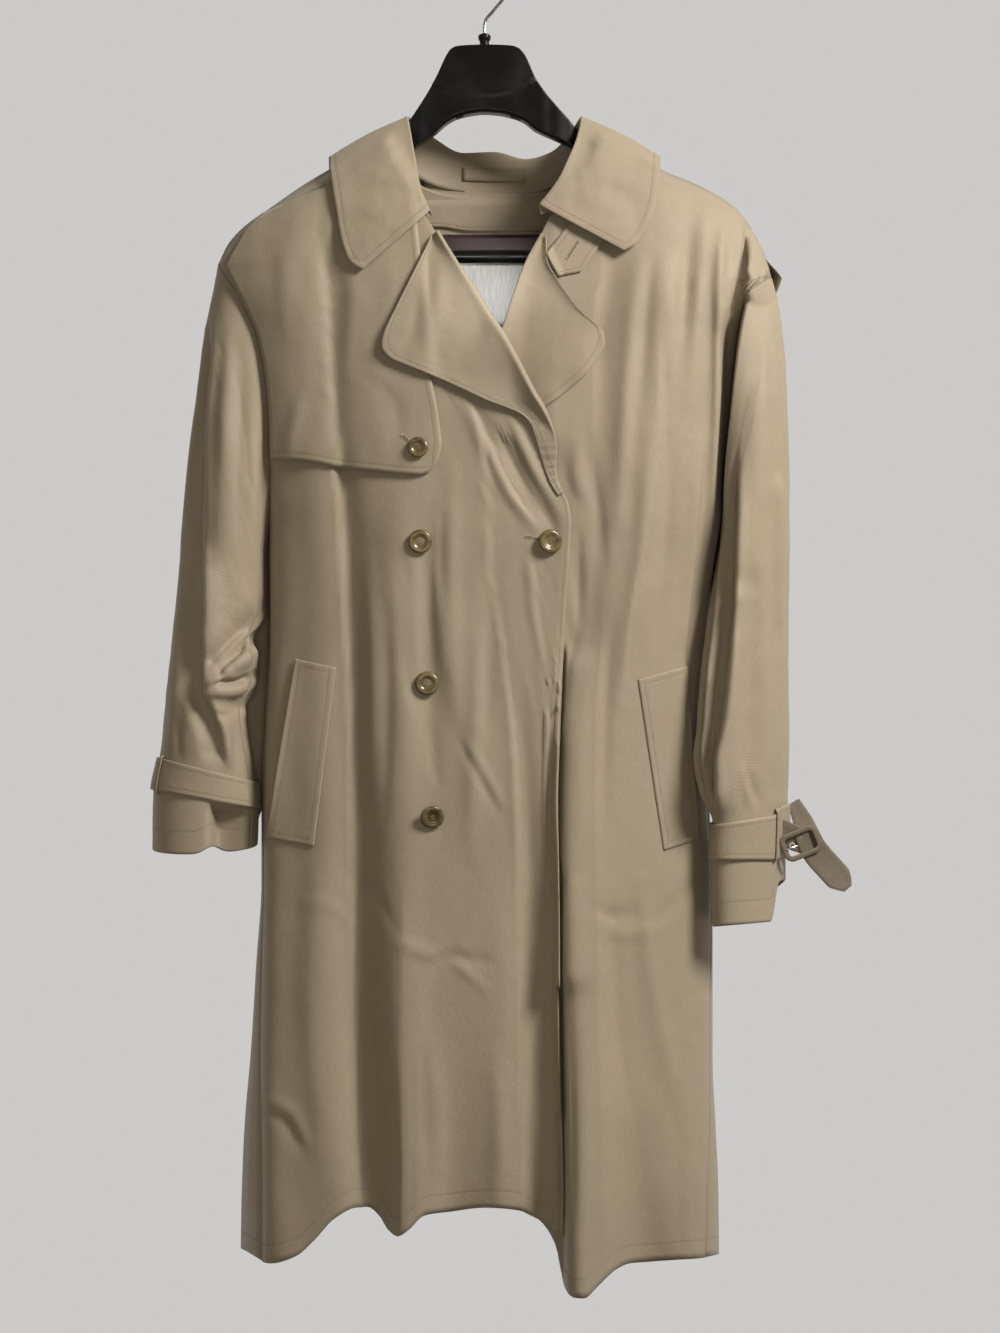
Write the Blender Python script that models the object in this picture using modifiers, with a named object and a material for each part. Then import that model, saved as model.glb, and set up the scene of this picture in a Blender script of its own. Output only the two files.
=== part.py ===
"""Double-breasted trench coat hanging open-necked on a black suit hanger.

Metres, +Z up, the front of the coat faces -Y, +X is the wearer's left.
The origin is the inside top of the hanger's hook, where a rail holds it.

The cloth is drafted in millimetres on a sheet: u runs across (to the wearer's
left), v runs down, and y is the depth, negative toward the front.  place()
takes a drafted point to its place in space.  The draft tapers a little with
depth, toward the point (UC, VC), so that the front and the back of one height
share one draft line.
"""
import bpy
import bmesh
import math
import numpy as np
from mathutils import Vector
from mathutils.bvhtree import BVHTree

# ------------------------------------------------------------------ named sizes
HOOK_U, HOOK_V = 483.0, -52.0     # draft point of the hook's seat
UC, VC, TAPER = 500.0, 666.0, 2000.0
WALL = 1.4                        # cloth wall
PLY = 2.1                         # mid-surface to mid-surface of two touching plies
SEAM = 0.8                        # half distance between the edges of two seamed panels
BUTTON_D = 23.0
HEM_STEP = 24.0                   # how far the left front comes forward at the hem
ARMHOLE_PIT = 22.0                # how deep the left front sinks before its armhole

KHAKI = (0.43, 0.35, 0.22)
KHAKI_DARK = (0.30, 0.25, 0.18)
HORN = (0.28, 0.14, 0.045)
BLACK = (0.012, 0.012, 0.013)
STEEL = (0.62, 0.62, 0.62)
MAROON = (0.055, 0.020, 0.022)
IVORY = (0.78, 0.76, 0.70)


# ------------------------------------------------------------------ small tools
def place(u, v, y):
    """Draft (mm) -> space (mm)."""
    k = 1.0 + y / TAPER
    return ((UC - HOOK_U) + (u - UC) * k, y, -(VC - HOOK_V) + (VC - v) * k)


def lerp(a, b, t):
    return a + (b - a) * t


def table(rows, column):
    """A smooth reading of one named column of a table whose first column is v."""
    xs = [r[0] for r in rows]
    ys = [r[column] for r in rows]
    return lambda v: float(np.interp(v, xs, ys))


def ramp(x, a, b):
    """0 at a, 1 at b, smooth between."""
    t = min(1.0, max(0.0, (x - a) / (b - a)))
    return t * t * (3.0 - 2.0 * t)


def start():
    for ob in list(bpy.data.objects):
        bpy.data.objects.remove(ob, do_unlink=True)
    for coll in list(bpy.data.collections):
        bpy.data.collections.remove(coll)
    coll = bpy.data.collections.new("trench_coat_on_hanger")
    bpy.context.scene.collection.children.link(coll)
    tools = bpy.data.collections.new("cutters")
    bpy.context.scene.collection.children.link(tools)
    return coll


COAT = start()
MATS = {}


def material(name, colour, rough, metal=0.0):
    if name not in MATS:
        m = bpy.data.materials.new(name)
        m.use_nodes = True
        p = m.node_tree.nodes["Principled BSDF"]
        p.inputs["Base Color"].default_value = (*colour, 1.0)
        p.inputs["Roughness"].default_value = rough
        p.inputs["Metallic"].default_value = metal
        MATS[name] = m
    return MATS[name]


def cloth():
    return material("khaki_gabardine", KHAKI, 0.72)


def add_object(name, mesh, mat):
    mesh.materials.clear()
    mesh.materials.append(mat)
    ob = bpy.data.objects.new(name, mesh)
    COAT.objects.link(ob)
    return ob


def sheet(name, grid, mat=None, wall=WALL, closed=False, flip=False):
    """An open surface through a grid of draft points, given its wall by Solidify."""
    g = np.array(grid, dtype=float)
    rows, cols = g.shape[:2]
    pts = np.array([[place(*g[i, j]) for j in range(cols)] for i in range(rows)]) / 1000.0
    bm = bmesh.new()
    vs = [[bm.verts.new(pts[i, j]) for j in range(cols)] for i in range(rows)]
    for i in range(rows - 1):
        for j in range(cols if closed else cols - 1):
            k = (j + 1) % cols
            a, b, c, d = vs[i][j], vs[i][k], vs[i + 1][k], vs[i + 1][j]
            if (a.co - c.co).length <= (b.co - d.co).length:
                tris = ((a, b, c), (a, c, d))
            else:
                tris = ((a, b, d), (b, c, d))
            for t in tris:
                bm.faces.new(t if flip else t[::-1])
    mesh = bpy.data.meshes.new(name)
    bm.to_mesh(mesh)
    bm.free()
    mesh.shade_smooth()
    ob = add_object(name, mesh, mat or cloth())
    m = ob.modifiers.new("wall", "SOLIDIFY")
    m.thickness = wall / 1000.0
    m.offset = 0.0
    m.use_even_offset = False
    return ob


# ------------------------------------------------------------------ body section
#        v    left  right  front back
BODY = ((124, 406, 583, 6, 6),
        (134, 388, 598, 20, 18),
        (150, 360, 630, 32, 30),
        (170, 328, 662, 40, 38),
        (185, 303, 698, 45, 42),
        (206, 273, 733, 49, 46),
        (225, 246, 749, 53, 48),
        (243, 229, 759, 56, 50),
        (263, 219, 767, 59, 52),
        (280, 220, 772, 62, 53),
        (300, 226, 768, 65, 54),
        (330, 238, 753, 68, 56),
        (381, 250, 745, 73, 58),
        (440, 259, 735, 77, 60),
        (500, 265, 727, 79, 61),
        (530, 269, 721, 80, 62),
        (560, 269, 716, 80, 62),
        (640, 270, 708, 82, 63),
        (703, 266, 706, 84, 64),
        (785, 262, 708, 86, 65),
        (880, 262, 712, 88, 66),
        (960, 257, 712, 91, 68),
        (1055, 251, 712, 95, 70),
        (1126, 245, 715, 98, 72),
        (1198, 242, 718, 101, 73),
        (1310, 241, 719, 104, 74))
body_left, body_right = table(BODY, 1), table(BODY, 2)
body_front, body_back = table(BODY, 3), table(BODY, 4)
SECTION_POWER = 2.5

#               v    left  right     where the front panels end: armhole, then side seam
FRONT_SIDE = ((263, 219, 767),
              (268, 221, 768.5),
              (277, 227, 771),
              (280, 229, 765),
              (294, 238, 747),
              (310, 246, 743),
              (330, 255, 739),
              (360, 262, 735),
              (400, 267, 731),
              (480, 269.5, 724),
              (510, 269.5, 723),
              (530, 269, 721),
              (560, 269.2, 715.8),
              (600, 269.9, 711.5),
              (640, 270.6, 707.4),
              (703, 267.4, 704.6),
              (785, 264.2, 706),
              (880, 264.6, 710.2),
              (960, 262.5, 709.8),
              (1055, 261, 709),
              (1126, 262, 709),
              (1198, 263, 706),
              (1310, 262, 703))
front_left, front_right = table(FRONT_SIDE, 1), table(FRONT_SIDE, 2)
ARMHOLE_TOP_L, ARMHOLE_TOP_R, ARMHOLE_LOW = 263.0, 277.0, 530.0


def section_depth(u, v):
    """0..1: how deep the body is at u, as a share of its full depth at height v."""
    l, r = body_left(v), body_right(v)
    x = (u - (l + r) / 2.0) / ((r - l) / 2.0)
    x = min(1.0, abs(x))
    return (1.0 - x ** SECTION_POWER) ** (1.0 / SECTION_POWER)


# ------------------------------------------------------------------ folds of the front
# name, path (v, u), half width at top and bottom, height at top and bottom (+ forward)
FOLDS = (
    ("chest_trough", ((200, 345), (380, 332), (460, 336), (560, 345), (760, 350), (1000, 360), (1215, 377)), 17, 24, -3, -26),
    ("waist_ridge", ((500, 400), (900, 398), (1236, 398)), 22, 26, 2, 14),
    ("button_trough", ((540, 428), (640, 428), (740, 430)), 15, 15, -4, -4),
    ("side_ridge", ((900, 285), (1263, 276)), 24, 30, 0, 12),
    ("hem_trough", ((960, 462), (1210, 458)), 26, 40, 0, -14),
    ("edge_trough", ((700, 520), (850, 530), (1220, 540)), 16, 20, -4, -24),
    ("drag_trough", ((400, 475), (525, 550)), 14, 12, -5, -4),
    ("left_chest_trough", ((240, 616), (330, 602), (420, 600), (560, 590), (700, 575)), 14, 18, -5, -5),
    ("left_chest_ridge", ((240, 665), (500, 661), (620, 640)), 22, 26, 5, 4),
    ("shoulder_trough", ((240, 692), (340, 682)), 10, 10, -4, -3),
    ("left_hem_ridge", ((900, 585), (1290, 584)), 22, 26, 2, 10),
    ("left_hem_trough", ((1040, 618), (1265, 650)), 20, 32, 0, -12),
    ("left_side_ridge", ((980, 695), (1255, 692)), 22, 24, 0, 6),
)


def one_fold(u, v, fold):
    name, path, w0, w1, h0, h1 = fold
    vs = [p[0] for p in path]
    us = [p[1] for p in path]
    t = (v - vs[0]) / (vs[-1] - vs[0])
    fade = ramp(v, vs[0] - 45, vs[0] + 45)
    if vs[-1] < 1100:
        fade *= 1.0 - ramp(v, vs[-1] - 45, vs[-1] + 60)
    t = min(1.15, max(0.0, t))
    w, h = lerp(w0, w1, t), lerp(h0, h1, t * t if abs(h1) > abs(h0) else t)
    d = (u - float(np.interp(v, vs, us))) / w
    return h * fade * math.exp(-d * d)


def folds(u, v):
    s = sum(one_fold(u, v, f) for f in FOLDS)
    edge = min(u - body_left(v), body_right(v) - u)
    return s * ramp(edge, 0, 24) * ramp(v, 190, 300)


def top_front_y(u, v):
    """Mid-surface of the front that laps over."""
    return -body_front(v) * section_depth(u, v) - folds(u, v)


def left_front_y(u, v):
    """The front that laps under, then steps forward past the overlap's edge."""
    y = top_front_y(u, v)
    e = lap_edge(v)
    far = 8.0 * (1.0 - ramp(v, 620, 720))
    under = lerp(8.5, 4.8, ramp(v, 470, 620)) * (1.0 - ramp(u, e + 1.0 + far, e + 7.0 + 2 * far))
    if v < 452:
        under *= 1.0 - ramp(u, 522, 556)
    step = HEM_STEP * ramp(v, 640, 1240)
    step *= ramp(u, e + 0.8, e + 6.0) * (1.0 - ramp(u, e + 14, e + 80))
    back_of_edge = 5.0 * ramp(v, 640, 760) * (1.0 - ramp(u, e + 3, e + 16)) * ramp(u, e - 14, e)
    pit = ARMHOLE_PIT * ramp(u, 716, 730) * ramp(v, 300, 380) * (1.0 - ramp(v, 470, 530))
    lip = 5.0 * math.exp(-((u - 714) / 10.0) ** 2) * ramp(v, 230, 320) * (1.0 - ramp(v, 500, 600))
    return y + under - step + back_of_edge + pit - lip


def back_y(u, v):
    y = body_back(v) * section_depth(u, v)
    edge = min(u - body_left(v), body_right(v) - u)
    soft = ramp(edge, 10, 70) * ramp(v, 330, 900)
    y += soft * (7.0 * math.cos((u - 500) / 34.0) + 4.0 * math.cos((u - 430) / 57.0))
    return y


# ------------------------------------------------------------------ outlines
#                    u    v
RIGHT_FRONT_TOP = ((219, 263), (229, 243), (246, 225), (273, 206), (303, 185), (328, 170), (360, 150),
                   (386, 136), (392, 152), (399, 170), (407, 188), (417, 205), (429, 221), (437, 234), (466, 280), (500, 333), (541, 411), (557, 452))
RIGHT_FRONT_HEM = ((241, 1245), (256, 1259), (271, 1263), (295, 1256), (312, 1241), (333, 1218), (355, 1207),
                   (366, 1207), (378, 1216), (388, 1230), (397, 1236), (409, 1229), (426, 1214), (450, 1211),
                   (485, 1207), (519, 1210), (540, 1220), (564, 1236))
#               v    u      edge of the overlap
LAP_EDGE = ((452, 557), (467, 556), (488, 561), (502, 568), (522, 571), (543, 570), (604, 566), (645, 564),
            (732, 560), (812, 558), (938, 559), (977, 559), (1055, 560), (1174, 562), (1240, 563))
LEFT_FRONT_TOP = ((402, 480), (440, 430), (500, 335), (514, 295), (525, 264), (541, 234), (549, 218), (562, 204),
                  (576, 189), (587, 172), (595, 153), (601, 137), (630, 150), (662, 170), (698, 185), (733, 206), (749, 225),
                  (759, 243), (767, 262), (771, 277))
LEFT_FRONT_HEM = ((400, 1232), (426, 1214), (450, 1211), (485, 1207), (519, 1210), (540, 1220), (556, 1245),
                  (561, 1268), (566, 1288), (573, 1297), (583, 1298), (596, 1287), (615, 1269), (629, 1263),
                  (653, 1261), (696, 1258), (719, 1255))
BACK_NECK = ((386, 136), (396, 154), (408, 173), (427, 188), (453, 195), (494, 199), (532, 197), (558, 190),
             (579, 173), (592, 154), (601, 137))


def along(line, u):
    return float(np.interp(u, [p[0] for p in line], [p[1] for p in line]))


def lap_edge(v):
    return along(LAP_EDGE, v)


def panel_grid(tops, hems, top_line, hem_line, rows, side, edge, depth, side_first=True, pins=()):
    """Columns run from the top line to the hem; the first and last follow the panel's edges."""
    n = len(tops)
    grid = []
    for i in range(rows):
        t = (i / (rows - 1.0))
        t = lerp(t, t * t, 0.45)
        row = []
        for j in range(n):
            vt, vb = along(top_line, tops[j]), along(hem_line, hems[j])
            v = lerp(vt, vb, t)
            s = j / (n - 1.0)

            def shift(jj, curve):
                a = along(top_line, tops[jj])
                b = along(hem_line, hems[jj])
                if v <= a:
                    return curve(a) - tops[jj]
                return curve(v) - lerp(tops[jj], hems[jj], (v - a) / (b - a))

            u = lerp(tops[j], hems[j], t)
            a_curve, b_curve = (side, edge) if side_first else (edge, side)
            u += (1 - s) ** 2 * shift(0, a_curve) * ramp(t, 0, 0.02 if j else 1e-6)
            u += s ** 2 * shift(n - 1, b_curve) * ramp(t, 0, 0.02 if j < n - 1 else 1e-6)
            for (j0, curve) in pins:
                w = max(0.0, 1.0 - max(0, abs(j - j0) - 1) / 5.0) * ramp(v, 440, 600)
                a, b = along(top_line, tops[j0]), along(hem_line, hems[j0])
                lin = lerp(tops[j0], hems[j0], t)
                lin += (1 - j0 / (n - 1.0)) ** 2 * shift(0, a_curve) + (j0 / (n - 1.0)) ** 2 * shift(n - 1, b_curve)
                u += w * (curve(v) - lin)
            row.append((u, v, 0.0))
        grid.append(row)
    g = np.array(grid)
    for i in range(g.shape[0]):
        for j in range(g.shape[1]):
            g[i, j, 2] = depth(g[i, j, 0], g[i, j, 1])
    return g


def spread(marks, counts):
    """Values that pass through the marks with the given number of steps between."""
    out = [marks[0]]
    for a, b, n in zip(marks, marks[1:], counts):
        out += [lerp(a, b, (k + 1) / n) for k in range(n)]
    return out


def seam_y(grid, amount, where):
    """Move a seamed border along y so that two panels' walls stay clear."""
    g = grid
    for (i, j) in where:
        g[i, j, 2] += amount
    return g


def right_front():
    tops = spread((219, 246, 328, 386, 429, 500, 541, 557), (2, 4, 3, 3, 4, 3, 2))
    hems = spread((262, 300, 355, 397, 430, 500, 540, 563), (2, 4, 3, 3, 4, 3, 2))
    g = panel_grid(tops, hems, RIGHT_FRONT_TOP, RIGHT_FRONT_HEM, 31, front_left, lap_edge, top_front_y)
    ridge = [(0, j) for j in range(len(tops)) if tops[j] <= 386]
    seam_y(g, -SEAM, ridge)
    return g


def left_front():
    tops = spread((402, 500, 545, 554, 559.5, 566, 601, 662, 716, 727, 749, 771), (5, 3, 1, 1, 1, 2, 4, 3, 1, 1, 1))
    hems = spread((400, 490, 548, 558, 563.5, 570, 600, 640, 680, 688, 696, 703), (5, 3, 1, 1, 1, 2, 4, 3, 1, 1, 1))
    j0 = tops.index(559.5)
    pins = ((j0, lambda v: lap_edge(v) + 0.9 + 8.0 * (1.0 - ramp(v, 620, 720))), )
    g = panel_grid(tops, hems, LEFT_FRONT_TOP, LEFT_FRONT_HEM, 31,
                   front_right, lambda v: 401.0, left_front_y, side_first=False, pins=pins)
    ridge = [(0, j) for j in range(len(tops)) if tops[j] >= 601]
    seam_y(g, -SEAM, ridge)
    return g


# the back wraps round the sides to the side seams: past an edge, the running
# coordinate goes on and the point turns to the front
def back_side_left(v):
    l, s = body_left(v), front_left(v)
    return s if v < ARMHOLE_LOW - 10 else l - max(0.0, s - l - 2 * SEAM)


def back_side_right(v):
    r, s = body_right(v), front_right(v)
    return s if v < ARMHOLE_LOW - 10 else r + max(0.0, r - s - 2 * SEAM)


def back_point(u, v):
    l, r = body_left(v), body_right(v)
    if u < l:
        u2 = 2 * l - u
        return (u2, v, top_front_y(u2, v))
    if u > r:
        u2 = 2 * r - u
        return (u2, v, left_front_y(u2, v))
    return (u, v, back_y(u, v))


def back():
    tops = spread((219, 246, 328, 386, 427, 494, 558, 601, 662, 749, 771), (2, 3, 3, 2, 3, 3, 2, 3, 3, 2))
    hems = spread((221, 270, 345, 396, 430, 494, 552, 590, 650, 700, 734), (2, 3, 3, 2, 3, 3, 2, 3, 3, 2))
    top_line = RIGHT_FRONT_TOP[:7] + BACK_NECK + LEFT_FRONT_TOP[11:]
    top_line = tuple(sorted(set(top_line), key=lambda p: p[0]))
    hem_line = ((221, 1260), (241, 1247), (262, 1240), (300, 1232), (494, 1228), (650, 1232), (695, 1240), (719, 1253), (735, 1257))
    g = panel_grid(tops, hems, top_line, hem_line, 26, back_side_left, back_side_right, lambda u, v: 0.0)
    for i in range(g.shape[0]):
        for j in range(g.shape[1]):
            g[i, j] = back_point(g[i, j, 0], g[i, j, 1])
    ridge = [(0, j) for j in range(len(tops)) if tops[j] <= 386 or tops[j] >= 601]
    seam_y(g, SEAM, ridge)
    return g


# ------------------------------------------------------------------ sleeves
# stations: outer line (uo, vo), inner line (ui, vi), their depths, half depths front and back
#                uo   vo   ui   vi   yo   yi  df  db
RIGHT_SLEEVE = ((219, 263, 270, 530, 0, 0, 48, 46),
                (214, 290, 267, 545, -2, 0, 49, 47),
                (208, 318, 266, 556, -4, 0, 49, 47),
                (203, 345, 265, 568, -5, 0, 49, 46),
                (196, 400, 265, 584, -6, -2, 48, 45),
                (188, 462, 265, 600, -8, -3, 47, 43),
                (182, 530, 264, 618, -10, -5, 46, 42),
                (178, 580, 254, 640, -12, -8, 45, 41),
                (173, 631, 258, 664, -14, -8, 45, 40),
                (169, 672, 255, 688, -16, -8, 45, 40),
                (166, 703, 245, 708, -18, -8, 45, 40),
                (163, 735, 249, 742, -20, -8, 44, 39),
                (160, 757, 256, 782, -20, -8, 43, 37),
                (154, 789, 258, 808, -20, -8, 44, 37),
                (153, 818, 258, 826, -20, -8, 45, 38),
                (153, 848, 257, 843, -20, -8, 46, 39))
LEFT_SLEEVE = ((771, 277, 720, 530, 0, 0, 48, 46),
               (777, 300, 719, 545, -2, -4, 49, 46),
               (781, 325, 717, 557, -4, -8, 48, 45),
               (784, 352, 715, 570, -5, -14, 46, 44),
               (787, 405, 712, 590, -6, -22, 44, 42),
               (789, 460, 709, 612, -8, -30, 42, 40),
               (789, 525, 706, 636, -9, -38, 41, 38),
               (789, 580, 702, 664, -10, -45, 40, 36),
               (788, 632, 699, 694, -11, -52, 39, 34),
               (788, 680, 697, 724, -12, -56, 38, 32),
               (788, 722, 694, 756, -12, -58, 38, 31),
               (788, 762, 700, 792, -12, -56, 38, 31),
               (787, 803, 713, 822, -12, -50, 38, 32),
               (786, 842, 711, 855, -12, -48, 39, 33),
               (785, 860, 711, 886, -12, -48, 40, 34),
               (785, 878, 712, 916, -12, -48, 41, 35))
STRAP_TOP, STRAP_LOW = 12.0, 13.0        # stations of the cuff strap's two edges
CUFF = 15.0

# creases on the sleeves' fronts: u0 v0 u1 v1 half-width height (+ forward)
SLEEVE_FOLDS = {"right": ((268, 608, 214, 660, 11, -9), (262, 640, 214, 684, 11, 8), (262, 676, 236, 706, 10, -8),
                          (254, 722, 238, 690, 9, 5), (214, 278, 203, 560, 12, -5), (203, 560, 228, 772, 14, 6)),
                "left": ((770, 285, 779, 470, 12, -6), (737, 600, 718, 805, 14, 8), (756, 330, 750, 560, 20, 5),
                         (702, 690, 700, 780, 8, -5))}


def station(rows, w):
    i = min(len(rows) - 2, max(0, int(math.floor(w))))
    return [lerp(a, b, w - i) for a, b in zip(rows[i], rows[i + 1])]


def armhole_point(side, s, front):
    top = ARMHOLE_TOP_L if side == "right" else ARMHOLE_TOP_R
    v = lerp(top, ARMHOLE_LOW, s)
    u = front_left(v) if side == "right" else front_right(v)
    if front:
        y = top_front_y(u, v) if side == "right" else left_front_y(u, v)
    else:
        y = back_y(u, v)
    return np.array((u, v, y))


def near_segment(u, v, seg):
    ax, ay, bx, by = seg[:4]
    t = ((u - ax) * (bx - ax) + (v - ay) * (by - ay)) / ((bx - ax) ** 2 + (by - ay) ** 2)
    t = min(1.0, max(0.0, t))
    return math.hypot(u - lerp(ax, bx, t), v - lerp(ay, by, t))


def clear_of_body(p, margin):
    """Push a point out of the body's section so that a sleeve lies beside it."""
    u, v, y = p
    if v < ARMHOLE_LOW:
        return p
    m = margin * ramp(v, ARMHOLE_LOW, ARMHOLE_LOW + 60)
    l, r = body_left(v), body_right(v)
    c, a = (l + r) / 2.0, (r - l) / 2.0 + m
    b = (body_front(v) + 8.0 + m) if y < 0 else (body_back(v) + 4.0 + m)
    g = (abs(u - c) / a) ** SECTION_POWER + (abs(y) / b) ** SECTION_POWER
    if g >= 1.0:
        return p
    k = g ** (-1.0 / SECTION_POWER)
    # slide mostly forward or back, a little outward
    return np.array((c + (u - c) * lerp(1.0, k, 0.35), v, y * k if abs(y) > 6 else y))


def sleeve_point(side, w, deg):
    rows = RIGHT_SLEEVE if side == "right" else LEFT_SLEEVE
    th = math.radians(deg)
    s = (1.0 - math.cos(th)) / 2.0
    front = math.sin(th) >= 0
    prof = abs(math.sin(th)) ** 0.86

    def plain(ww):
        uo, vo, ui, vi, yo, yi, df, db = station(rows, ww)
        y = lerp(yo, yi, s) - (df * prof if front else -db * prof)
        return np.array((lerp(uo, ui, s), lerp(vo, vi, s), y))

    p = plain(w)
    fade = max(0.0, 1.0 - w / 5.0) ** 1.5
    if fade > 0:
        p = p + (armhole_point(side, s, front) - plain(0.0)) * fade
    apart = 1.0 - ramp(w, 0.5, 3.0)
    p[0] += (-1.5 if side == "right" else 1.7) * apart
    p[1] += 1.2 * apart * math.cos(th) if s < 0.5 else 0.0
    # the cuff's hem dips at the front
    if side == "right":
        p[1] += ramp(w, 13.0, CUFF) * prof * (8.0 if front else -7.0)
    elif front:
        p[1] += float(np.interp(w, (11, 12, 13, 14, 15), (0, 9, 17, 30, 42))) * ramp(deg, 6, 52) * (1.0 - 0.75 * s) * ramp(180 - deg, 0, 20)
    else:
        p[1] += ramp(w, 13.0, CUFF) * prof * 7.0
    # creases
    if front:
        for f in SLEEVE_FOLDS[side]:
            d = near_segment(p[0], p[1], f) / f[4]
            p[2] -= f[5] * math.exp(-d * d) * prof * ramp(w, 0.5, 3.0) * (1.0 - ramp(w, 11.2, 12.0))
    # soft lengthwise folds at the back
    else:
        p[2] += 3.0 * math.sin(3.0 * th + w * 0.5) * prof * ramp(w, 1.0, 4.0) * (1.0 - ramp(w, 11.0, 12.0))
    return clear_of_body(p, 5.0)


def sleeve_normal(side, w, deg):
    e = 0.05
    a = np.array(place(*sleeve_point(side, w, deg + 2))) - np.array(place(*sleeve_point(side, w, deg - 2)))
    b = np.array(place(*sleeve_point(side, min(CUFF, w + e), deg))) - np.array(place(*sleeve_point(side, max(0, w - e), deg)))
    n = np.cross(a, b)
    n /= np.linalg.norm(n)
    uo, vo, ui, vi, yo, yi, df, db = station(RIGHT_SLEEVE if side == "right" else LEFT_SLEEVE, w)
    mid = np.array(place((uo + ui) / 2, (vo + vi) / 2, (yo + yi) / 2))
    if np.dot(n, np.array(place(*sleeve_point(side, w, deg))) - mid) < 0:
        n = -n
    return n


def off_sleeve(side, w, deg, lift):
    """A draft point lifted off the sleeve along its normal."""
    p = sleeve_point(side, w, deg)
    n = sleeve_normal(side, w, deg)
    return (p[0] + n[0] * lift, p[1] - n[2] * lift, p[2] + n[1] * lift)


SLEEVE_ROWS = [0.06, 0.6, 1.2, 2, 3, 4, 5, 6, 6.8, 7.5, 8.2, 8.9, 9.6, 10.4, 11.2, 12, 13, 14, 15]
SEAM_DEG = 1.0


def sleeve_grids(side):
    """The two-piece sleeve: the top sleeve, and the under sleeve toward the body."""
    top = [lerp(-112 + SEAM_DEG, 148 - SEAM_DEG, k / 14) for k in range(15)]
    under = [lerp(148 + SEAM_DEG, 248 - SEAM_DEG, k / 6) for k in range(7)]
    return ([[sleeve_point(side, w, d) for d in top] for w in SLEEVE_ROWS],
            [[sleeve_point(side, w, d) for d in under] for w in SLEEVE_ROWS])


# ------------------------------------------------------------------ laying one ply on another
class Ground:
    """The plies laid so far, seen from the front (or from the back)."""

    def __init__(self, facing=-1):
        self.facing = facing
        self.trees = []

    def add(self, grid):
        g = np.array(grid, dtype=float)
        r, c = g.shape[:2]
        verts = [Vector(g[i, j]) for i in range(r) for j in range(c)]
        faces = []
        for i in range(r - 1):
            for j in range(c - 1):
                a, b, d, e = i * c + j, i * c + j + 1, (i + 1) * c + j + 1, (i + 1) * c + j
                if (verts[a] - verts[d]).length <= (verts[b] - verts[e]).length:
                    faces += [(a, b, d), (a, d, e)]
                else:
                    faces += [(a, b, e), (b, d, e)]
        self.trees.append(BVHTree.FromPolygons(verts, faces))
        return grid

    def height(self, u, v, lift):
        best = None
        for tree in self.trees:
            hit, n, _, _ = tree.ray_cast(Vector((u, v, 500.0 * self.facing)), Vector((0, 0, -self.facing)))
            if hit is None:
                continue
            y = hit.z + self.facing * lift / max(0.42, abs(n.z))
            if best is None or (y - best) * self.facing > 0:
                best = y
        return best

    def lay(self, u, v, lift=PLY, reach=4.0):
        ys = [self.height(u + a, v + b, lift) for a, b in ((0, 0), (reach, 0), (-reach, 0), (0, reach), (0, -reach))]
        ys = [y for y in ys if y is not None]
        if not ys:
            return None
        return (min(ys) if self.facing < 0 else max(ys))


def laid(ground, uv_grid, lift=PLY, extra=None, reach=4.0):
    out = []
    for i, row in enumerate(uv_grid):
        line = []
        for j, (u, v) in enumerate(row):
            y = ground.lay(u, v, lift, reach)
            line.append([u, v, y])
        known = [k for k, p in enumerate(line) if p[2] is not None]
        for k, p in enumerate(line):
            if p[2] is None:
                p[2] = line[min(known, key=lambda q: abs(q - k))][2] if known else 0.0
        out.append(line)
    g = np.array(out, dtype=float)
    if extra:
        for i in range(g.shape[0]):
            for j in range(g.shape[1]):
                g[i, j, 2] += ground.facing * extra(i / (g.shape[0] - 1.0), j / (g.shape[1] - 1.0), g[i, j, 0], g[i, j, 1])
    return g


def between(left, right, cols, power=1.0):
    """Rows of (u, v) between two lines of the same number of points."""
    return [[(lerp(a[0], b[0], (k / (cols - 1.0)) ** power), lerp(a[1], b[1], (k / (cols - 1.0)) ** power)) for k in range(cols)]
            for a, b in zip(left, right)]


def resample(line, n):
    """n points evenly along a line of points."""
    d = [0.0]
    for a, b in zip(line, line[1:]):
        d.append(d[-1] + math.dist(a, b))
    out = []
    for k in range(n):
        t = d[-1] * k / (n - 1.0)
        out.append(tuple(float(np.interp(t, d, [p[m] for p in line])) for m in range(len(line[0]))))
    return out


# ------------------------------------------------------------------ the coat's pieces
FRONT = Ground(-1)

left_front_grid = FRONT.add(left_front())
left_front_ob = sheet("left_front", left_front_grid)

# left lapel: turned back from its roll line, over the left front
LEFT_ROLL = ((542, 233), (535, 245), (528, 258), (522, 272), (517, 286), (512, 300), (507, 316), (500, 335), (488, 355), (474, 378), (462, 397))
LEFT_LAPEL_EDGE = ((546, 236), (547, 258), (559, 281), (581, 310), (603, 331), (605, 342), (594, 364), (571, 387), (541, 409), (518, 424), (497, 438))
left_lapel_grid = laid(FRONT, between(LEFT_ROLL, LEFT_LAPEL_EDGE, 6), PLY + 0.4,
                       lambda i, j, u, v: 6.0 * math.exp(-j * 5.0) * (1 - ramp(v, 300, 342)) + 4.0 * j * j * (1 - ramp(v, 340, 400)))
sheet("left_lapel", left_lapel_grid)

# the front that laps over has to clear the left front and the end of its lapel
under_lap = Ground(-1)
under_lap.add(left_front_grid)
under_lap.add(left_lapel_grid)
right_front_grid = right_front()
for i in range(right_front_grid.shape[0]):
    for j in range(right_front_grid.shape[1]):
        u, v, y = right_front_grid[i, j]
        if 400 < u < 559.5 and v > 300:
            low = under_lap.lay(u, v, PLY + (2.4 if v < 400 else 0.9), 10.0 if v < 400 else 6.0)
            if low is not None:
                right_front_grid[i, j, 2] = min(y, low)
FRONT.add(right_front_grid)
FRONT.add(left_lapel_grid)
sheet("right_front", right_front_grid)

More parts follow.
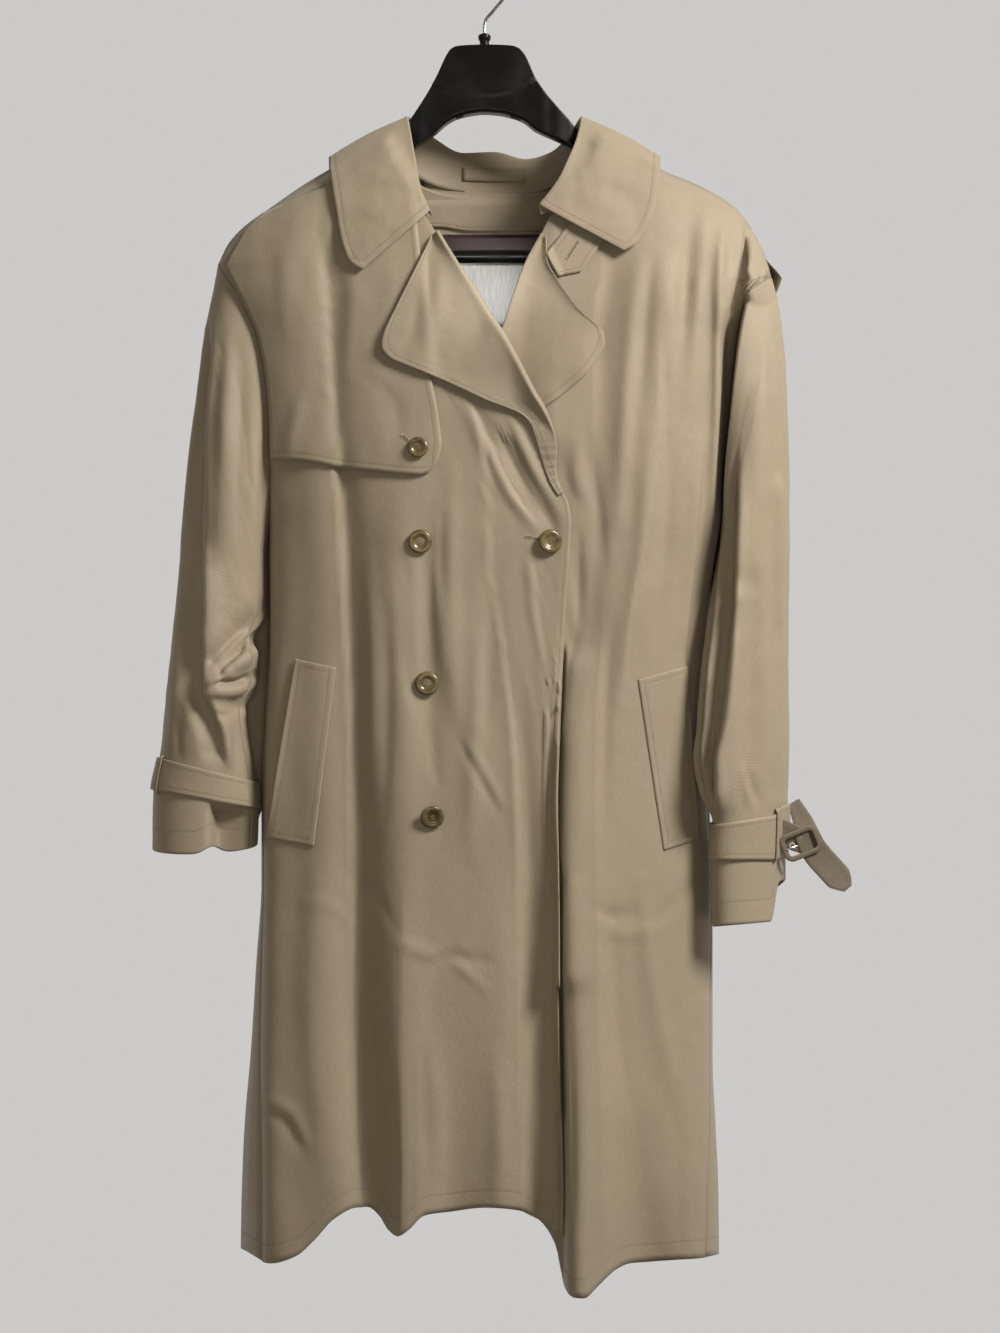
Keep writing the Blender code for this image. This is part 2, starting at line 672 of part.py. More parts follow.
back_grid = back()
centre = back_grid.shape[1] // 2          # the centre back seam
back_halves = (back_grid[:, :centre + 1].copy(), back_grid[:, centre:].copy())
back_halves[0][:, -1, 0] -= SEAM
back_halves[1][:, 0, 0] += SEAM
sheet("back_right", back_halves[0])
sheet("back_left", back_halves[1])

# storm flap over the right chest
flap_left = resample(((300, 196), (283, 240), (273, 300), (270, 360), (270, 458)), 9)
flap_right = resample(((393, 158), (414, 190), (424, 290), (431, 377), (438, 410), (442, 444), (436, 469)), 9)
flap_rows = between(flap_left, flap_right, 10)
FLAP_LOW = ((270, 458), (302, 460), (343, 467), (380, 471), (417, 474), (430, 471), (437, 466))
for j in range(10):
    flap_rows[-1][j] = (lerp(270, 436, j / 9), along(FLAP_LOW, lerp(270, 436, j / 9)))
storm_flap_grid = laid(FRONT, flap_rows, PLY + 0.4, lambda i, j, u, v: 2.5 * ramp(i, 0.55, 1.0) + 1.2 * (1.0 - ramp(i, 0.1, 0.3)))
sheet("storm_flap", storm_flap_grid)
FRONT.add(storm_flap_grid)

# right lapel
RIGHT_ROLL = ((436, 231), (445, 246), (455, 262), (466, 280), (478, 299), (489, 317), (500, 333), (513, 356), (526, 381), (534, 396), (541, 409), (548, 419), (554, 431))
RIGHT_LAPEL_EDGE = ((431, 236), (415, 268), (398, 302), (383, 334), (381, 346), (389, 357), (405, 364), (430, 374), (462, 388), (488, 399), (510, 408), (531, 420), (545, 432))
right_lapel_grid = laid(FRONT, between(RIGHT_ROLL, RIGHT_LAPEL_EDGE, 7), PLY - 0.6,
                        lambda i, j, u, v: 7.0 * math.exp(-j * 6.0) + 4.0 * j * j)
sheet("right_lapel", right_lapel_grid)
FRONT.add(right_lapel_grid)

# throat latch under the left collar
latch_rows = between(((590, 214), (574, 222), (560, 240), (548, 256)), ((618, 226), (606, 240), (592, 256), (566, 274)), 4)
throat_latch_grid = laid(FRONT, latch_rows, PLY - 0.3)
sheet("throat_latch", throat_latch_grid)
FRONT.add(throat_latch_grid)

# collar: the fall runs from notch to notch round the neck
#          roll u  v    y    edge u  v    y
COLLAR = ((429, 211, -54, 362, 269, -60),
          (424, 200, -50, 350, 262, -58),
          (419, 187, -45, 341, 240, -52),
          (415, 166, -36, 335, 206, -42),
          (411, 145, -24, 331, 180, -26),
          (408, 128, -14, 329, 165, -13),
          (406, 117, -5, 329, 157, -4),
          (407, 117.5, 10, 329, 158, 13),
          (415, 123, 28, 342, 180, 40),
          (436, 141, 46, 390, 216, 60),
          (463, 154, 52, 436, 232, 66),
          (494, 153, 54, 492, 238, 68),
          (526, 160, 52, 548, 234, 66),
          (552, 153, 46, 598, 218, 60),
          (574, 130, 28, 646, 180, 40),
          (582, 117.5, 10, 660, 157, 13),
          (583, 117, -5, 660, 156, -4),
          (581, 128, -14, 660, 164, -13),
          (577, 142, -24, 659, 178, -26),
          (570, 158, -36, 655, 204, -42),
          (561, 177, -45, 647, 226, -52),
          (549, 194, -50, 636, 243, -58),
          (540, 205, -54, 624, 250, -60))
BACK = Ground(1)
BACK.add(back_grid)


def collar_fall():
    rows = []
    for c in COLLAR:
        roll, edge = c[:3], c[3:]
        line = []
        for k in range(5):
            t = k / 4.0
            u, v, y = (lerp(roll[m], edge[m], t) for m in range(3))
            bulge = 5.0 * math.sin(math.pi * t)
            if roll[2] < -12:
                y = min(y - bulge, FRONT.lay(u, v, PLY + 1.6, 9.0) or y)
            elif roll[2] > 12:
                y = max(y + bulge, BACK.lay(u, v, PLY + 4.9, 9.0) or y)
            else:
                v -= bulge * 0.6
            line.append((u, v, y))
        rows.append(line)
    return np.array(rows)


collar_grid = collar_fall()
sheet("collar", collar_grid)

# collar stand: the inside band, from just inside the roll down to the neck seam
#         neck seam u  v   y
STAND = ((434, 216, -52), (428, 212, -49), (419, 203, -45), (408, 187, -37), (400, 169, -27), (394, 152, -18),
         (391, 136, -7), (391, 136.5, 10), (400, 156, 26), (419, 178, 39), (453, 190, 45), (494, 194, 47),
         (532, 192, 45), (564, 181, 39), (588, 157, 26), (596, 136.5, 10), (596, 136, -7), (593, 152, -18),
         (586, 169, -27), (576, 187, -37), (562, 202, -45), (550, 210, -49), (541, 214, -52))


def collar_stand():
    rows = []
    for c, s in zip(COLLAR, STAND):
        u, v, y = c[:3]
        w = 1.0 if y > -40 else 0.5
        du, dy = (494 - u), (6 - y)
        n = math.hypot(du, dy)
        top = (u + 1.9 * du / n, v + 1.6 * w, y + 1.9 * dy / n)
        rows.append([tuple(lerp(top[m], s[m], k / 2.0) for m in range(3)) for k in range(3)])
    return np.array(rows)


stand_grid = collar_stand()
sheet("collar_stand", stand_grid)


# inside of the back, seen through the neck
def inside_back(name, us, vs, lift, mat=None, wall=1.2):
    g = [[(u, v, back_in.height(u, v, lift)) for u in us] for v in vs]
    sheet(name, g, mat, wall)
    return np.array(g)


back_in = Ground(-1)
back_in.add(back_grid)
facing_grid = inside_back("back_neck_facing", spread((438, 550), (8,)), spread((199, 231), (3,)), PLY)
lining_grid = inside_back("back_lining", spread((430, 560), (5,)), spread((234, 430), (6,)), PLY,
                          material("lining", MAROON, 0.45))
back_in.add(facing_grid)
back_in.add(lining_grid)
label_grid = inside_back("label", spread((448, 530), (3,)), spread((252, 324), (3,)), 1.8,
                         material("label_ivory", IVORY, 0.6), 0.8)
stand_in = Ground(-1)
stand_in.add(np.array([r for r in stand_grid[8:15]]))
loop_g = [[(u, v + (u - 463) * 0.02, stand_in.height(u, v, 2.0)) for u in spread((463, 525), (4,))] for v in (167, 180)]
sheet("hanging_loop", loop_g, None, 1.2)

# sleeves
for side in ("right", "left"):
    top, under = sleeve_grids(side)
    sheet(side + "_top_sleeve", top)
    sheet(side + "_under_sleeve", under)
    ring = [[off_sleeve(side, lerp(STRAP_TOP, STRAP_LOW, k / 2.0), d, PLY + 0.5) for d in spread((0, 345), (23,))] for k in range(3)]
    sheet(side + "_cuff_strap", ring, closed=True)

# pocket welts: slanted, on the fronts
#                    top-left    top-right   bottom-right bottom-left
WELTS = {"right": ((295, 658), (336, 667), (314, 846), (265, 837)),
         "left": ((638, 679), (688, 665), (700, 838), (664, 850))}
for side, (tl, tr, br, bl) in WELTS.items():
    rows = between(resample((tl, bl), 12), resample((tr, br), 12), 5)
    g = laid(FRONT, rows, PLY - 0.1, None, 3.5 if side == "right" else 1.2)
    sheet(side + "_pocket_welt", g)
    FRONT.add(g)


# ------------------------------------------------------------------ back storm shield
# hangs free over the upper back
def back_shield():
    rows = []
    for i in range(9):
        t = i / 8.0
        row = []
        for k in range(13):
            s = k / 12.0
            u = lerp(lerp(246, 282, t), lerp(745, 716, t), s)
            top = along(RIGHT_FRONT_TOP[:7] + BACK_NECK + LEFT_FRONT_TOP[11:], u) + 9.0
            low = 452.0 + 10.0 * math.sin(math.pi * s)
            v = lerp(top, low, t)
            y = BACK.lay(u, v, PLY + 1.1, 9.0)
            row.append([u, v, (y if y is not None else 40.0) + 3.0 * ramp(t, 0.4, 1.0)])
        rows.append(row)
    return np.array(rows)


shield_grid = back_shield()
sheet("back_storm_shield", shield_grid)


# the small folded tab that stands out behind the point of the left shoulder
#              u      v
SHOULDER_TAB = ((757.9, 239.3), (761.9, 247.7), (767.6, 261.4), (774.6, 268.6), (782.6, 277.0),
                (781.6, 280.5), (779.4, 286.5), (778.9, 294.0))
TAB_NEAR, TAB_FAR = 1.0, 15.0
sheet("left_shoulder_tab", [[(u, v, y) for y in (TAB_NEAR, (TAB_NEAR + TAB_FAR) / 2.0, TAB_FAR)] for u, v in SHOULDER_TAB],
      None, 1.2)


# ------------------------------------------------------------------ buttons
def turned(name, profile, steps, mat):
    """A closed profile (radius, height) turned round +Z with a Screw modifier."""
    mesh = bpy.data.meshes.new(name)
    bm = bmesh.new()
    vs = [bm.verts.new((r / 1000.0, 0.0, z / 1000.0)) for r, z in profile]
    for a, b in zip(vs, vs[1:]):
        bm.edges.new((a, b))
    bm.to_mesh(mesh)
    bm.free()
    ob = add_object(name, mesh, mat)
    m = ob.modifiers.new("turn", "SCREW")
    m.steps = steps
    m.render_steps = steps
    m.use_merge_vertices = True
    m.merge_threshold = 0.00005
    m.use_smooth_shade = True
    return ob


def button(name, u, v, d, grid_stack, tilt=(0.0, 0.0)):
    r = d / 2.0
    profile = ((0.0, 3.0), (r * 0.6, 3.0), (r * 0.74, 4.0), (r * 0.93, 4.0), (r, 2.8), (r * 0.84, 0.0), (0.0, 0.0))
    ob = turned(name, profile, 14, material("horn", HORN, 0.32))
    y = grid_stack.lay(u, v, WALL / 2.0 + 0.35, r * 0.75) - (abs(tilt[0]) + abs(tilt[1])) * r * 0.6
    x, yy, z = place(u, v, y)
    ob.location = (x / 1000.0, yy / 1000.0, z / 1000.0)
    gx = (grid_stack.height(u + 8, v, 0) - grid_stack.height(u - 8, v, 0)) / 16.0
    gz = (grid_stack.height(u, v + 8, 0) - grid_stack.height(u, v - 8, 0)) / 16.0
    normal = Vector((gx + tilt[0], -1.0, -gz + tilt[1])).normalized()
    ob.rotation_mode = "QUATERNION"
    ob.rotation_quaternion = normal.to_track_quat("Z", "Y")
    return ob


#            name            u    v    diameter
BUTTONS = (("button_flap", 418, 447, 20.0, (0.0, 0.0)),
           ("button_chest", 420, 541, BUTTON_D, (0.0, 0.0)),
           ("button_waist", 427, 683, BUTTON_D, (0.0, 0.0)),
           ("button_low", 432, 816, BUTTON_D, (0.1, -0.35)),
           ("button_lap", 550, 541, BUTTON_D, (0.25, 0.0)))
for b in BUTTONS:
    button(b[0], b[1], b[2], b[3], FRONT, b[4])


# ------------------------------------------------------------------ hanger
def ridge(u):
    """Height of the shoulder seam, which lies on the hanger's arms."""
    g = right_front_grid if u < 494 else left_front_grid
    return float(np.interp(u, g[0, :, 0], g[0, :, 1]))


INSIDE_FRONT, INSIDE_BACK = Ground(-1), Ground(1)
INSIDE_FRONT.add(right_front_grid)
INSIDE_FRONT.add(left_front_grid)
INSIDE_BACK.add(back_grid)
ARM_GAP = 1.5                 # from the seam's middle to the top of the arm


def within(u, v, y):
    """Keep a point of the arm inside the shoulder's cloth."""
    lift = -(WALL / 2.0 + 0.9)
    if y < 0:
        lim = INSIDE_FRONT.height(u, v, lift)
        return max(y, lim) if lim is not None else 0.0
    lim = INSIDE_BACK.height(u, v, lift)
    return min(y, lim) if lim is not None else 0.0


def hard(u, v, y):
    """A hard piece's draft point: no taper."""
    return (u - HOOK_U, y, -(v - HOOK_V))


#            u    top  low  half thickness
YOKE = ((396, 140, 166, 6.0), (403, 130, 157, 6.0), (411, 119, 149, 6.5), (422, 103, 142, 9.0), (436, 79, 132, 9.0), (448, 54, 121, 9.0), (459, 47, 116, 9.5),
        (484, 47, 112, 10.0),
        (516, 47, 117, 9.5), (524, 54, 121, 9.0), (536, 80, 130, 9.0), (556, 106, 139, 9.0), (568, 119, 145, 7.5), (577, 120.5 + 9, 152, 6.0), (592, 144, 164, 6.0))
#             u   depth of the arm, half thickness, how far below the seam
ARM_LEFT = ((258, 34, 11, 4), (264, 40, 14, 2), (274, 44, 16, 0), (284, 30, 16, 0), (303, 27, 15.5, 0), (328, 27, 14, 0), (347, 27, 13, 0), (366, 27, 10, 0), (382, 27, 7, 0))
ARM_RIGHT = ((606, 27, 7, 0), (621, 27, 10, 0), (641, 27, 13, 0), (662, 27, 14, 0), (692, 27, 15.5, 0), (708, 30, 16, 0), (718, 44, 16, 0), (726, 40, 13, 3), (732, 34, 9, 7))
ARM_RING = ((-1.0, 0.55), (-0.85, 0.30), (-0.5, 0.10), (0.0, 0.0), (0.5, 0.10), (0.85, 0.30), (1.0, 0.55), (0.9, 1.0), (-0.9, 1.0))
YOKE_RING = ((-1.0, 0.30), (-0.9, 0.06), (-0.5, 0.0), (0.0, 0.0), (0.5, 0.0), (0.9, 0.06), (1.0, 0.30), (0.95, 1.0), (-0.95, 1.0))
BAR_V, BAR_R = 256.0, 6.6


def loft(name, rings, mat):
    """A closed solid through rings of the same number of points, in mm."""
    bm = bmesh.new()
    vr = [[bm.verts.new([c / 1000.0 for c in p]) for p in ring] for ring in rings]
    n = len(rings[0])
    for a, b in zip(vr, vr[1:]):
        for k in range(n):
            bm.faces.new((a[k], a[(k + 1) % n], b[(k + 1) % n], b[k]))
    bm.faces.new(vr[0][::-1])
    bm.faces.new(vr[-1])
    bmesh.ops.triangulate(bm, faces=bm.faces[:])
    bmesh.ops.recalc_face_normals(bm, faces=bm.faces[:])
    mesh = bpy.data.meshes.new(name)
    bm.to_mesh(mesh)
    bm.free()
    mesh.shade_smooth()
    mesh.set_sharp_from_angle(angle=math.radians(40))
    return add_object(name, mesh, mat)


def hanger():
    rings = []
    for u, depth, half, drop in ARM_LEFT:
        top = ridge(u) + ARM_GAP + drop
        rings.append([place(u, top + b * depth, within(u, top + b * depth, a * half)) for a, b in ARM_RING])
    for u, top, low, half in YOKE:
        rings.append([hard(u, lerp(top, low, b), a * half) for a, b in YOKE_RING])
    for u, depth, half, drop in ARM_RIGHT:
        top = ridge(u) + ARM_GAP + drop
        rings.append([place(u, top + b * depth, within(u, top + b * depth, a * half)) for a, b in ARM_RING])
    black = material("hanger_plastic", BLACK, 0.28)
    body = loft("hanger_body", rings, black)
    # the trouser bar joins the arms' ends
    lo, hi = place(268, BAR_V, 0), place(724, BAR_V, 0)
    bpy.ops.mesh.primitive_cylinder_add(vertices=14, radius=BAR_R / 1000.0, depth=(hi[0] - lo[0]) / 1000.0,
                                        location=((lo[0] + hi[0]) / 2000.0, 0.0, lo[2] / 1000.0), rotation=(0, math.pi / 2, 0))
    bar = bpy.context.active_object
    bar.name = "trouser_bar_union"
    for c in list(bar.users_collection):
        c.objects.unlink(bar)
    bpy.data.collections["cutters"].objects.link(bar)
    bar.data.materials.append(black)
    bar.hide_render = True
    bar.display_type = "WIRE"
    m = body.modifiers.new("trouser_bar", "BOOLEAN")
    m.operation = "UNION"
    m.object = bar
    return body


hanger()
FERRULE_TOP, FERRULE_LOW = 34.0, 46.6
ferrule = turned("hook_ferrule", ((0.0, FERRULE_LOW - FERRULE_TOP), (4.2, FERRULE_LOW - FERRULE_TOP), (5.0, FERRULE_LOW - FERRULE_TOP - 1.0),
                                  (6.0, 1.0), (6.0, 0.0), (0.0, 0.0)), 16, material("hanger_plastic", BLACK, 0.28))
fx, fy, fz = place(484.5, FERRULE_LOW, 0)
ferrule.location = (fx / 1000.0, 0.0, fz / 1000.0)

WIRE_R = 1.75
HOOK_R = 30.0


def hook():
    cu, cv = HOOK_U, HOOK_V + HOOK_R - WIRE_R
    pts = [(484.5, 33.6), (484.5, 27.0), (485.0, 22.0), (487.0, 17.5), (491.5, 12.5), (496.5, 6.5), (501.5, 0.5)]
    for k in range(15):
        a = math.radians(50.0 - k * 17.5)
        pts.append((cu + HOOK_R * math.cos(a), cv + HOOK_R * math.sin(a)))
    cu_data = bpy.data.curves.new("hanger_hook", "CURVE")
    cu_data.dimensions = "3D"
    cu_data.bevel_depth = WIRE_R / 1000.0
    cu_data.bevel_resolution = 2
    cu_data.use_fill_caps = True
    sp = cu_data.splines.new("POLY")
    sp.points.add(len(pts) - 1)
    for p, (u, v) in zip(sp.points, pts):
        x, y, z = place(u, v, 0)
        p.co = (x / 1000.0, y / 1000.0, z / 1000.0, 1.0)
    cu_data.materials.append(material("hook_steel", STEEL, 0.22, 1.0))
    ob = bpy.data.objects.new("hanger_hook", cu_data)
    COAT.objects.link(ob)


hook()


# ------------------------------------------------------------------ left cuff: strap end, loop, buckle
def strip(name, centre, wall, mat=None, slope=0.0, cols=3):
    """A flat strap along a line of (u, v, y, half width), across its direction in the draft."""
    rows = []
    for k, (u, v, y, h) in enumerate(centre):
        a, b = centre[max(0, k - 1)], centre[min(len(centre) - 1, k + 1)]
        du, dv = b[0] - a[0], b[1] - a[1]
        n = math.hypot(du, dv)
        du, dv = du / n, dv / n
        across = [lerp(-1, 1, c / (cols - 1.0)) for c in range(cols)]
        rows.append([(u - dv * h * q, v + du * h * q, y - dv * h * q * slope) for q in across])
    return sheet(name, rows, mat, wall)


dark_cloth = material("strap_leather", KHAKI_DARK, 0.6)


def strap_loop(side, deg):
    """A narrow keeper of cloth over the cuff strap."""
    spread_deg = 2.6
    rows = [[off_sleeve(side, w, d, PLY * 2 + 0.7) for d in (deg - spread_deg, deg, deg + spread_deg)]
            for w in (STRAP_TOP - 0.12, STRAP_TOP + 0.2, STRAP_LOW - 0.2, STRAP_LOW + 0.12)]
    return sheet(side + "_strap_loop", rows, None, 1.2)


strap_loop("left", 48)
strap_loop("right", 26)
#            u    v    y    half width
STRAP_END = ((797, 801, 0, 8), (801, 810, -15, 9), (804, 821, -29, 10.5), (807, 834, -37.8, 12), (812, 846, -36.4, 13),
             (819, 856, -34.4, 13.5), (829, 867, -33, 13.5), (837, 876, -33, 13.5), (842.5, 882, -33, 10.5), (848, 888.5, -33.5, 4.5))
strip("left_strap_end", STRAP_END, 1.8, dark_cloth, 0.3)
BUCKLE_U, BUCKLE_V, BUCKLE_Y, BUCKLE_SLOPE = 801.0, 843.0, -43.5, 0.3
BUCKLE_ANGLE = -22.0
BUCKLE_W, BUCKLE_H, BUCKLE_BAR, BUCKLE_T = 40.0, 29.0, 5.4, 4.0


def buckle():
    """A rounded rectangular frame, swept round its middle line."""
    ca, sa = math.cos(math.radians(BUCKLE_ANGLE)), math.sin(math.radians(BUCKLE_ANGLE))
    w, h, r = (BUCKLE_W - BUCKLE_BAR) / 2.0, (BUCKLE_H - BUCKLE_BAR) / 2.0, 6.0
    mid = []
    for cx, cy, a0 in ((w - r, h - r, 0), (-(w - r), h - r, 90), (-(w - r), -(h - r), 180), (w - r, -(h - r), 270)):
        for k in range(4):
            a = math.radians(a0 + 30.0 * k)
            mid.append((cx + r * math.cos(a), cy + r * math.sin(a), math.cos(a), math.sin(a)))
    section = ((1.0, -0.55), (0.6, -1.0), (-0.6, -1.0), (-1.0, -0.55), (-1.0, 0.6), (1.0, 0.6))
    bm = bmesh.new()
    rings = []
    for x, y, nx, ny in mid:
        ring = []
        for a, b in section:
            px, py = x + nx * a * BUCKLE_BAR / 2, y + ny * a * BUCKLE_BAR / 2
            u = BUCKLE_U + px * ca - py * sa
            v = BUCKLE_V + px * sa + py * ca
            q = place(u, v, BUCKLE_Y + BUCKLE_SLOPE * (u - BUCKLE_U) + b * BUCKLE_T / 2)
            ring.append(bm.verts.new([c / 1000.0 for c in q]))
        rings.append(ring)
    n = len(section)
    for a, b in zip(rings, rings[1:] + rings[:1]):
        for k in range(n):
            bm.faces.new((a[k], a[(k + 1) % n], b[(k + 1) % n], b[k]))
    bmesh.ops.triangulate(bm, faces=bm.faces[:])
    bmesh.ops.recalc_face_normals(bm, faces=bm.faces[:])
    mesh = bpy.data.meshes.new("left_buckle")
    bm.to_mesh(mesh)
    bm.free()
    mesh.shade_smooth()
    add_object("left_buckle", mesh, dark_cloth)


buckle()
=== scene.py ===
"""Looks of a double-breasted trench coat on a black suit hanger.

The cloth is drafted in millimetres on a sheet: u runs across (to the wearer's
left), v runs down, and y is the depth, negative toward the front.  place()
takes a drafted point to its place in the frame, as the solids do.
"""
import math

import bmesh
import bpy
import numpy as np
from mathutils import Matrix, Vector, kdtree, noise
from mathutils.bvhtree import BVHTree


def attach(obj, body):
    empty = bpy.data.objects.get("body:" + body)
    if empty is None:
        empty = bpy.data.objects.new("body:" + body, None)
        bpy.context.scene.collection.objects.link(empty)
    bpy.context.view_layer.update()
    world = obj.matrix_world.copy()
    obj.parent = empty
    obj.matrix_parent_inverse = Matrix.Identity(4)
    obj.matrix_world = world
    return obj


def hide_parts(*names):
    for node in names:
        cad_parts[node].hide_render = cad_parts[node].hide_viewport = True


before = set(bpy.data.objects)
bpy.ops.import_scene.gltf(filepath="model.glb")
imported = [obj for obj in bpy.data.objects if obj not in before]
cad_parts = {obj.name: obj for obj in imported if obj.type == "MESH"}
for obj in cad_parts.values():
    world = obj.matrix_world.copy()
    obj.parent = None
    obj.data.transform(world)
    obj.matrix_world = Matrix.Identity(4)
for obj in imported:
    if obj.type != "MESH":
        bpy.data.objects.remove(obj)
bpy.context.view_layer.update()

# ------------------------------------------------------------------ camera
HOOK_U, HOOK_V = 483.0, -52.0            # the frame's origin in the draft: inside the hook's bend
UC, VC, TAPER = 500.0, 666.0, 2000.0     # the camera's axis in the draft, and how far off it stands
cam_data = bpy.data.cameras.new("camera")
cam_data.sensor_width, cam_data.lens = 36.0, 54.0
cam_data.clip_start, cam_data.clip_end = 0.05, 60.0
camera = bpy.data.objects.new("camera", cam_data)
camera.location = ((UC - HOOK_U) / 1000.0, -TAPER / 1000.0, -(VC - HOOK_V) / 1000.0)
camera.rotation_euler = (math.pi / 2, 0.0, 0.0)
bpy.context.scene.collection.objects.link(camera)
bpy.context.scene.camera = camera

# ------------------------------------------------------------------ named sizes
WALL = 1.2                        # cloth wall
PLY = 2.1                         # mid-surface to mid-surface of two touching plies
SEAM = 0.25                       # half distance between the edges of two seamed panels
BUTTON_D = 23.0
HEM_STEP = 24.0                   # how far the left front comes forward at the hem
ARMHOLE_PIT = 32.0                # how deep the left front sinks before its armhole
SLIT_DEEP, SLIT_ROLL = 13.0, 5.5  # the gap beside the overlap's edge, and the roll of the cloth past it
HEM, EDGE = 17.0, 9.0             # hem stitches and edge stitches, from the edge
PANEL = 4                         # columns of a panel for each of its solid's


# ------------------------------------------------------------------ small tools
def place(p):
    """Draft (mm), any array of (u, v, y) -> frame (m)."""
    p = np.asarray(p, float)
    k = 1.0 + p[..., 2] / TAPER
    across, up = (UC - HOOK_U) + (p[..., 0] - UC) * k, -(VC - HOOK_V) + (VC - p[..., 1]) * k
    return np.stack((across, p[..., 2], up), -1) / 1000.0


def draft(P):
    """Frame (m) -> draft (mm)."""
    P = np.asarray(P, float) * 1000.0
    k = 1.0 + P[..., 1] / TAPER
    u, v = UC + (P[..., 0] - (UC - HOOK_U)) / k, VC - (P[..., 2] + (VC - HOOK_V)) / k
    return np.stack((u, v, P[..., 1]), -1)


def lerp(a, b, t):
    return a + (b - a) * t


def ramp(x, a, b):
    """0 at a, 1 at b, smooth between."""
    t = np.clip((x - a) / (b - a), 0.0, 1.0)
    return t * t * (3.0 - 2.0 * t)


def read(x, xs, ys):
    """A table read with a monotone cubic between its rows."""
    xs, ys, x = np.asarray(xs, float), np.asarray(ys, float), np.asarray(x, float)
    h = np.diff(xs)
    d = np.diff(ys) / h
    m = np.empty(len(xs))
    m[0], m[-1] = d[0], d[-1]
    same = d[:-1] * d[1:] > 0
    m[1:-1] = np.where(same, 2.0 * d[:-1] * d[1:] / np.where(same, d[:-1] + d[1:], 1.0), 0.0)
    i = np.clip(np.searchsorted(xs, x, side="right") - 1, 0, len(xs) - 2)
    t = np.clip((x - xs[i]) / h[i], 0.0, 1.0)
    a, b = ys[i], ys[i + 1]
    return (a * (1 + 2 * t) * (1 - t) ** 2 + b * t * t * (3 - 2 * t)
            + h[i] * (m[i] * t * (1 - t) ** 2 - m[i + 1] * t * t * (1 - t)))


def column(rows, k):
    """Column k of a table, as a function of its first column."""
    xs, ys = [r[0] for r in rows], [r[k] for r in rows]
    return lambda x: read(x, xs, ys)


def along(line, x):
    return column(line, 1)(x)


def unit(a, least=1e-12):
    return a / np.maximum(np.linalg.norm(a, axis=-1, keepdims=True), least)


def travelled(line):
    """Distance run at each point of a line."""
    return np.concatenate(([0.0], np.cumsum(np.linalg.norm(np.diff(line, axis=0), axis=1))))


def by_index(line, n):
    """n points along a line of points, counted by its own steps."""
    t = np.linspace(0, len(line) - 1, n)
    return np.stack([read(t, range(len(line)), [p[k] for p in line]) for k in range(len(line[0]))], -1)


def by_length(line, n):
    """n points along a line of points, evenly spaced."""
    line = np.asarray(line, float)
    d = travelled(line)
    t = np.linspace(0, d[-1], n)
    return np.stack([np.interp(t, d, line[:, k]) for k in range(line.shape[1])], -1)


def spread(marks, counts, times=1):
    """Values that pass through the marks with the given number of steps between."""
    out = [marks[0]]
    for a, b, n in zip(marks, marks[1:], counts):
        n *= times
        out += [lerp(a, b, (k + 1) / n) for k in range(n)]
    return np.array(out, float)


def grid_quads(rows, cols, around=False, over=False):
    """Corners of a grid's quads; around and over join its last column or row to its first."""
    idx = np.arange(rows * cols).reshape(rows, cols)
    if around:
        idx = np.concatenate((idx, idx[:, :1]), 1)
    if over:
        idx = np.concatenate((idx, idx[:1]), 0)
    return np.stack((idx[:-1, :-1], idx[1:, :-1], idx[1:, 1:], idx[:-1, 1:]), -1).reshape(-1, 4)


def outward(mesh, weld=0.0):
    """Turn a mesh's faces outward, after its doubled points are welded."""
    bm = bmesh.new()
    bm.from_mesh(mesh)
    if weld:
        bmesh.ops.remove_doubles(bm, verts=bm.verts[:], dist=weld)
    bmesh.ops.recalc_face_normals(bm, faces=bm.faces[:])
    bm.to_mesh(mesh)
    bm.free()


# ------------------------------------------------------------------ body section
#        v    left  right  front back
BODY = ((124, 406, 583, 6, 6),
        (134, 388, 598, 20, 18),
        (150, 360, 630, 32, 30),
        (170, 328, 662, 40, 38),
        (185, 303, 698, 45, 42),
        (206, 273, 733, 49, 46),
        (225, 246, 749, 53, 48),
        (243, 229, 759, 56, 50),
        (263, 219, 767, 59, 52),
        (280, 220, 772, 62, 53),
        (300, 226, 768, 65, 54),
        (330, 238, 753, 68, 56),
        (381, 250, 745, 73, 58),
        (440, 259, 735, 77, 60),
        (500, 265, 727, 79, 61),
        (530, 269, 721, 80, 62),
        (560, 269, 716, 80, 62),
        (640, 270, 708, 82, 63),
        (703, 266, 706, 84, 64),
        (785, 262, 708, 86, 65),
        (880, 262, 712, 88, 66),
        (960, 257, 712, 91, 68),
        (1055, 251, 712, 95, 70),
        (1126, 245, 715, 98, 72),
        (1198, 242, 718, 101, 73),
        (1310, 241, 719, 104, 74))
body_left, body_right, body_front, body_back = (column(BODY, k) for k in (1, 2, 3, 4))
SECTION_POWER = 2.5

#               v    left  right     where the front panels end: armhole, then side seam
FRONT_SIDE = ((263, 219, 767),
              (268, 221, 768.5),
              (277, 227, 771),
              (280, 229, 765),
              (294, 238, 747),
              (310, 246, 743),
              (330, 255, 739),
              (360, 262, 735),
              (400, 267, 731),
              (480, 269.5, 724),
              (510, 269.5, 723),
              (530, 269, 721),
              (560, 269.2, 715.8),
              (600, 269.9, 711.5),
              (640, 270.6, 707.4),
              (703, 267.4, 704.6),
              (785, 264.2, 706),
              (880, 264.6, 710.2),
              (960, 262.5, 709.8),
              (1055, 261, 709),
              (1126, 262, 709),
              (1198, 263, 706),
              (1310, 262, 703))
front_left, front_right = column(FRONT_SIDE, 1), column(FRONT_SIDE, 2)
ARMHOLE_TOP_L, ARMHOLE_TOP_R, ARMHOLE_LOW = 263.0, 277.0, 530.0


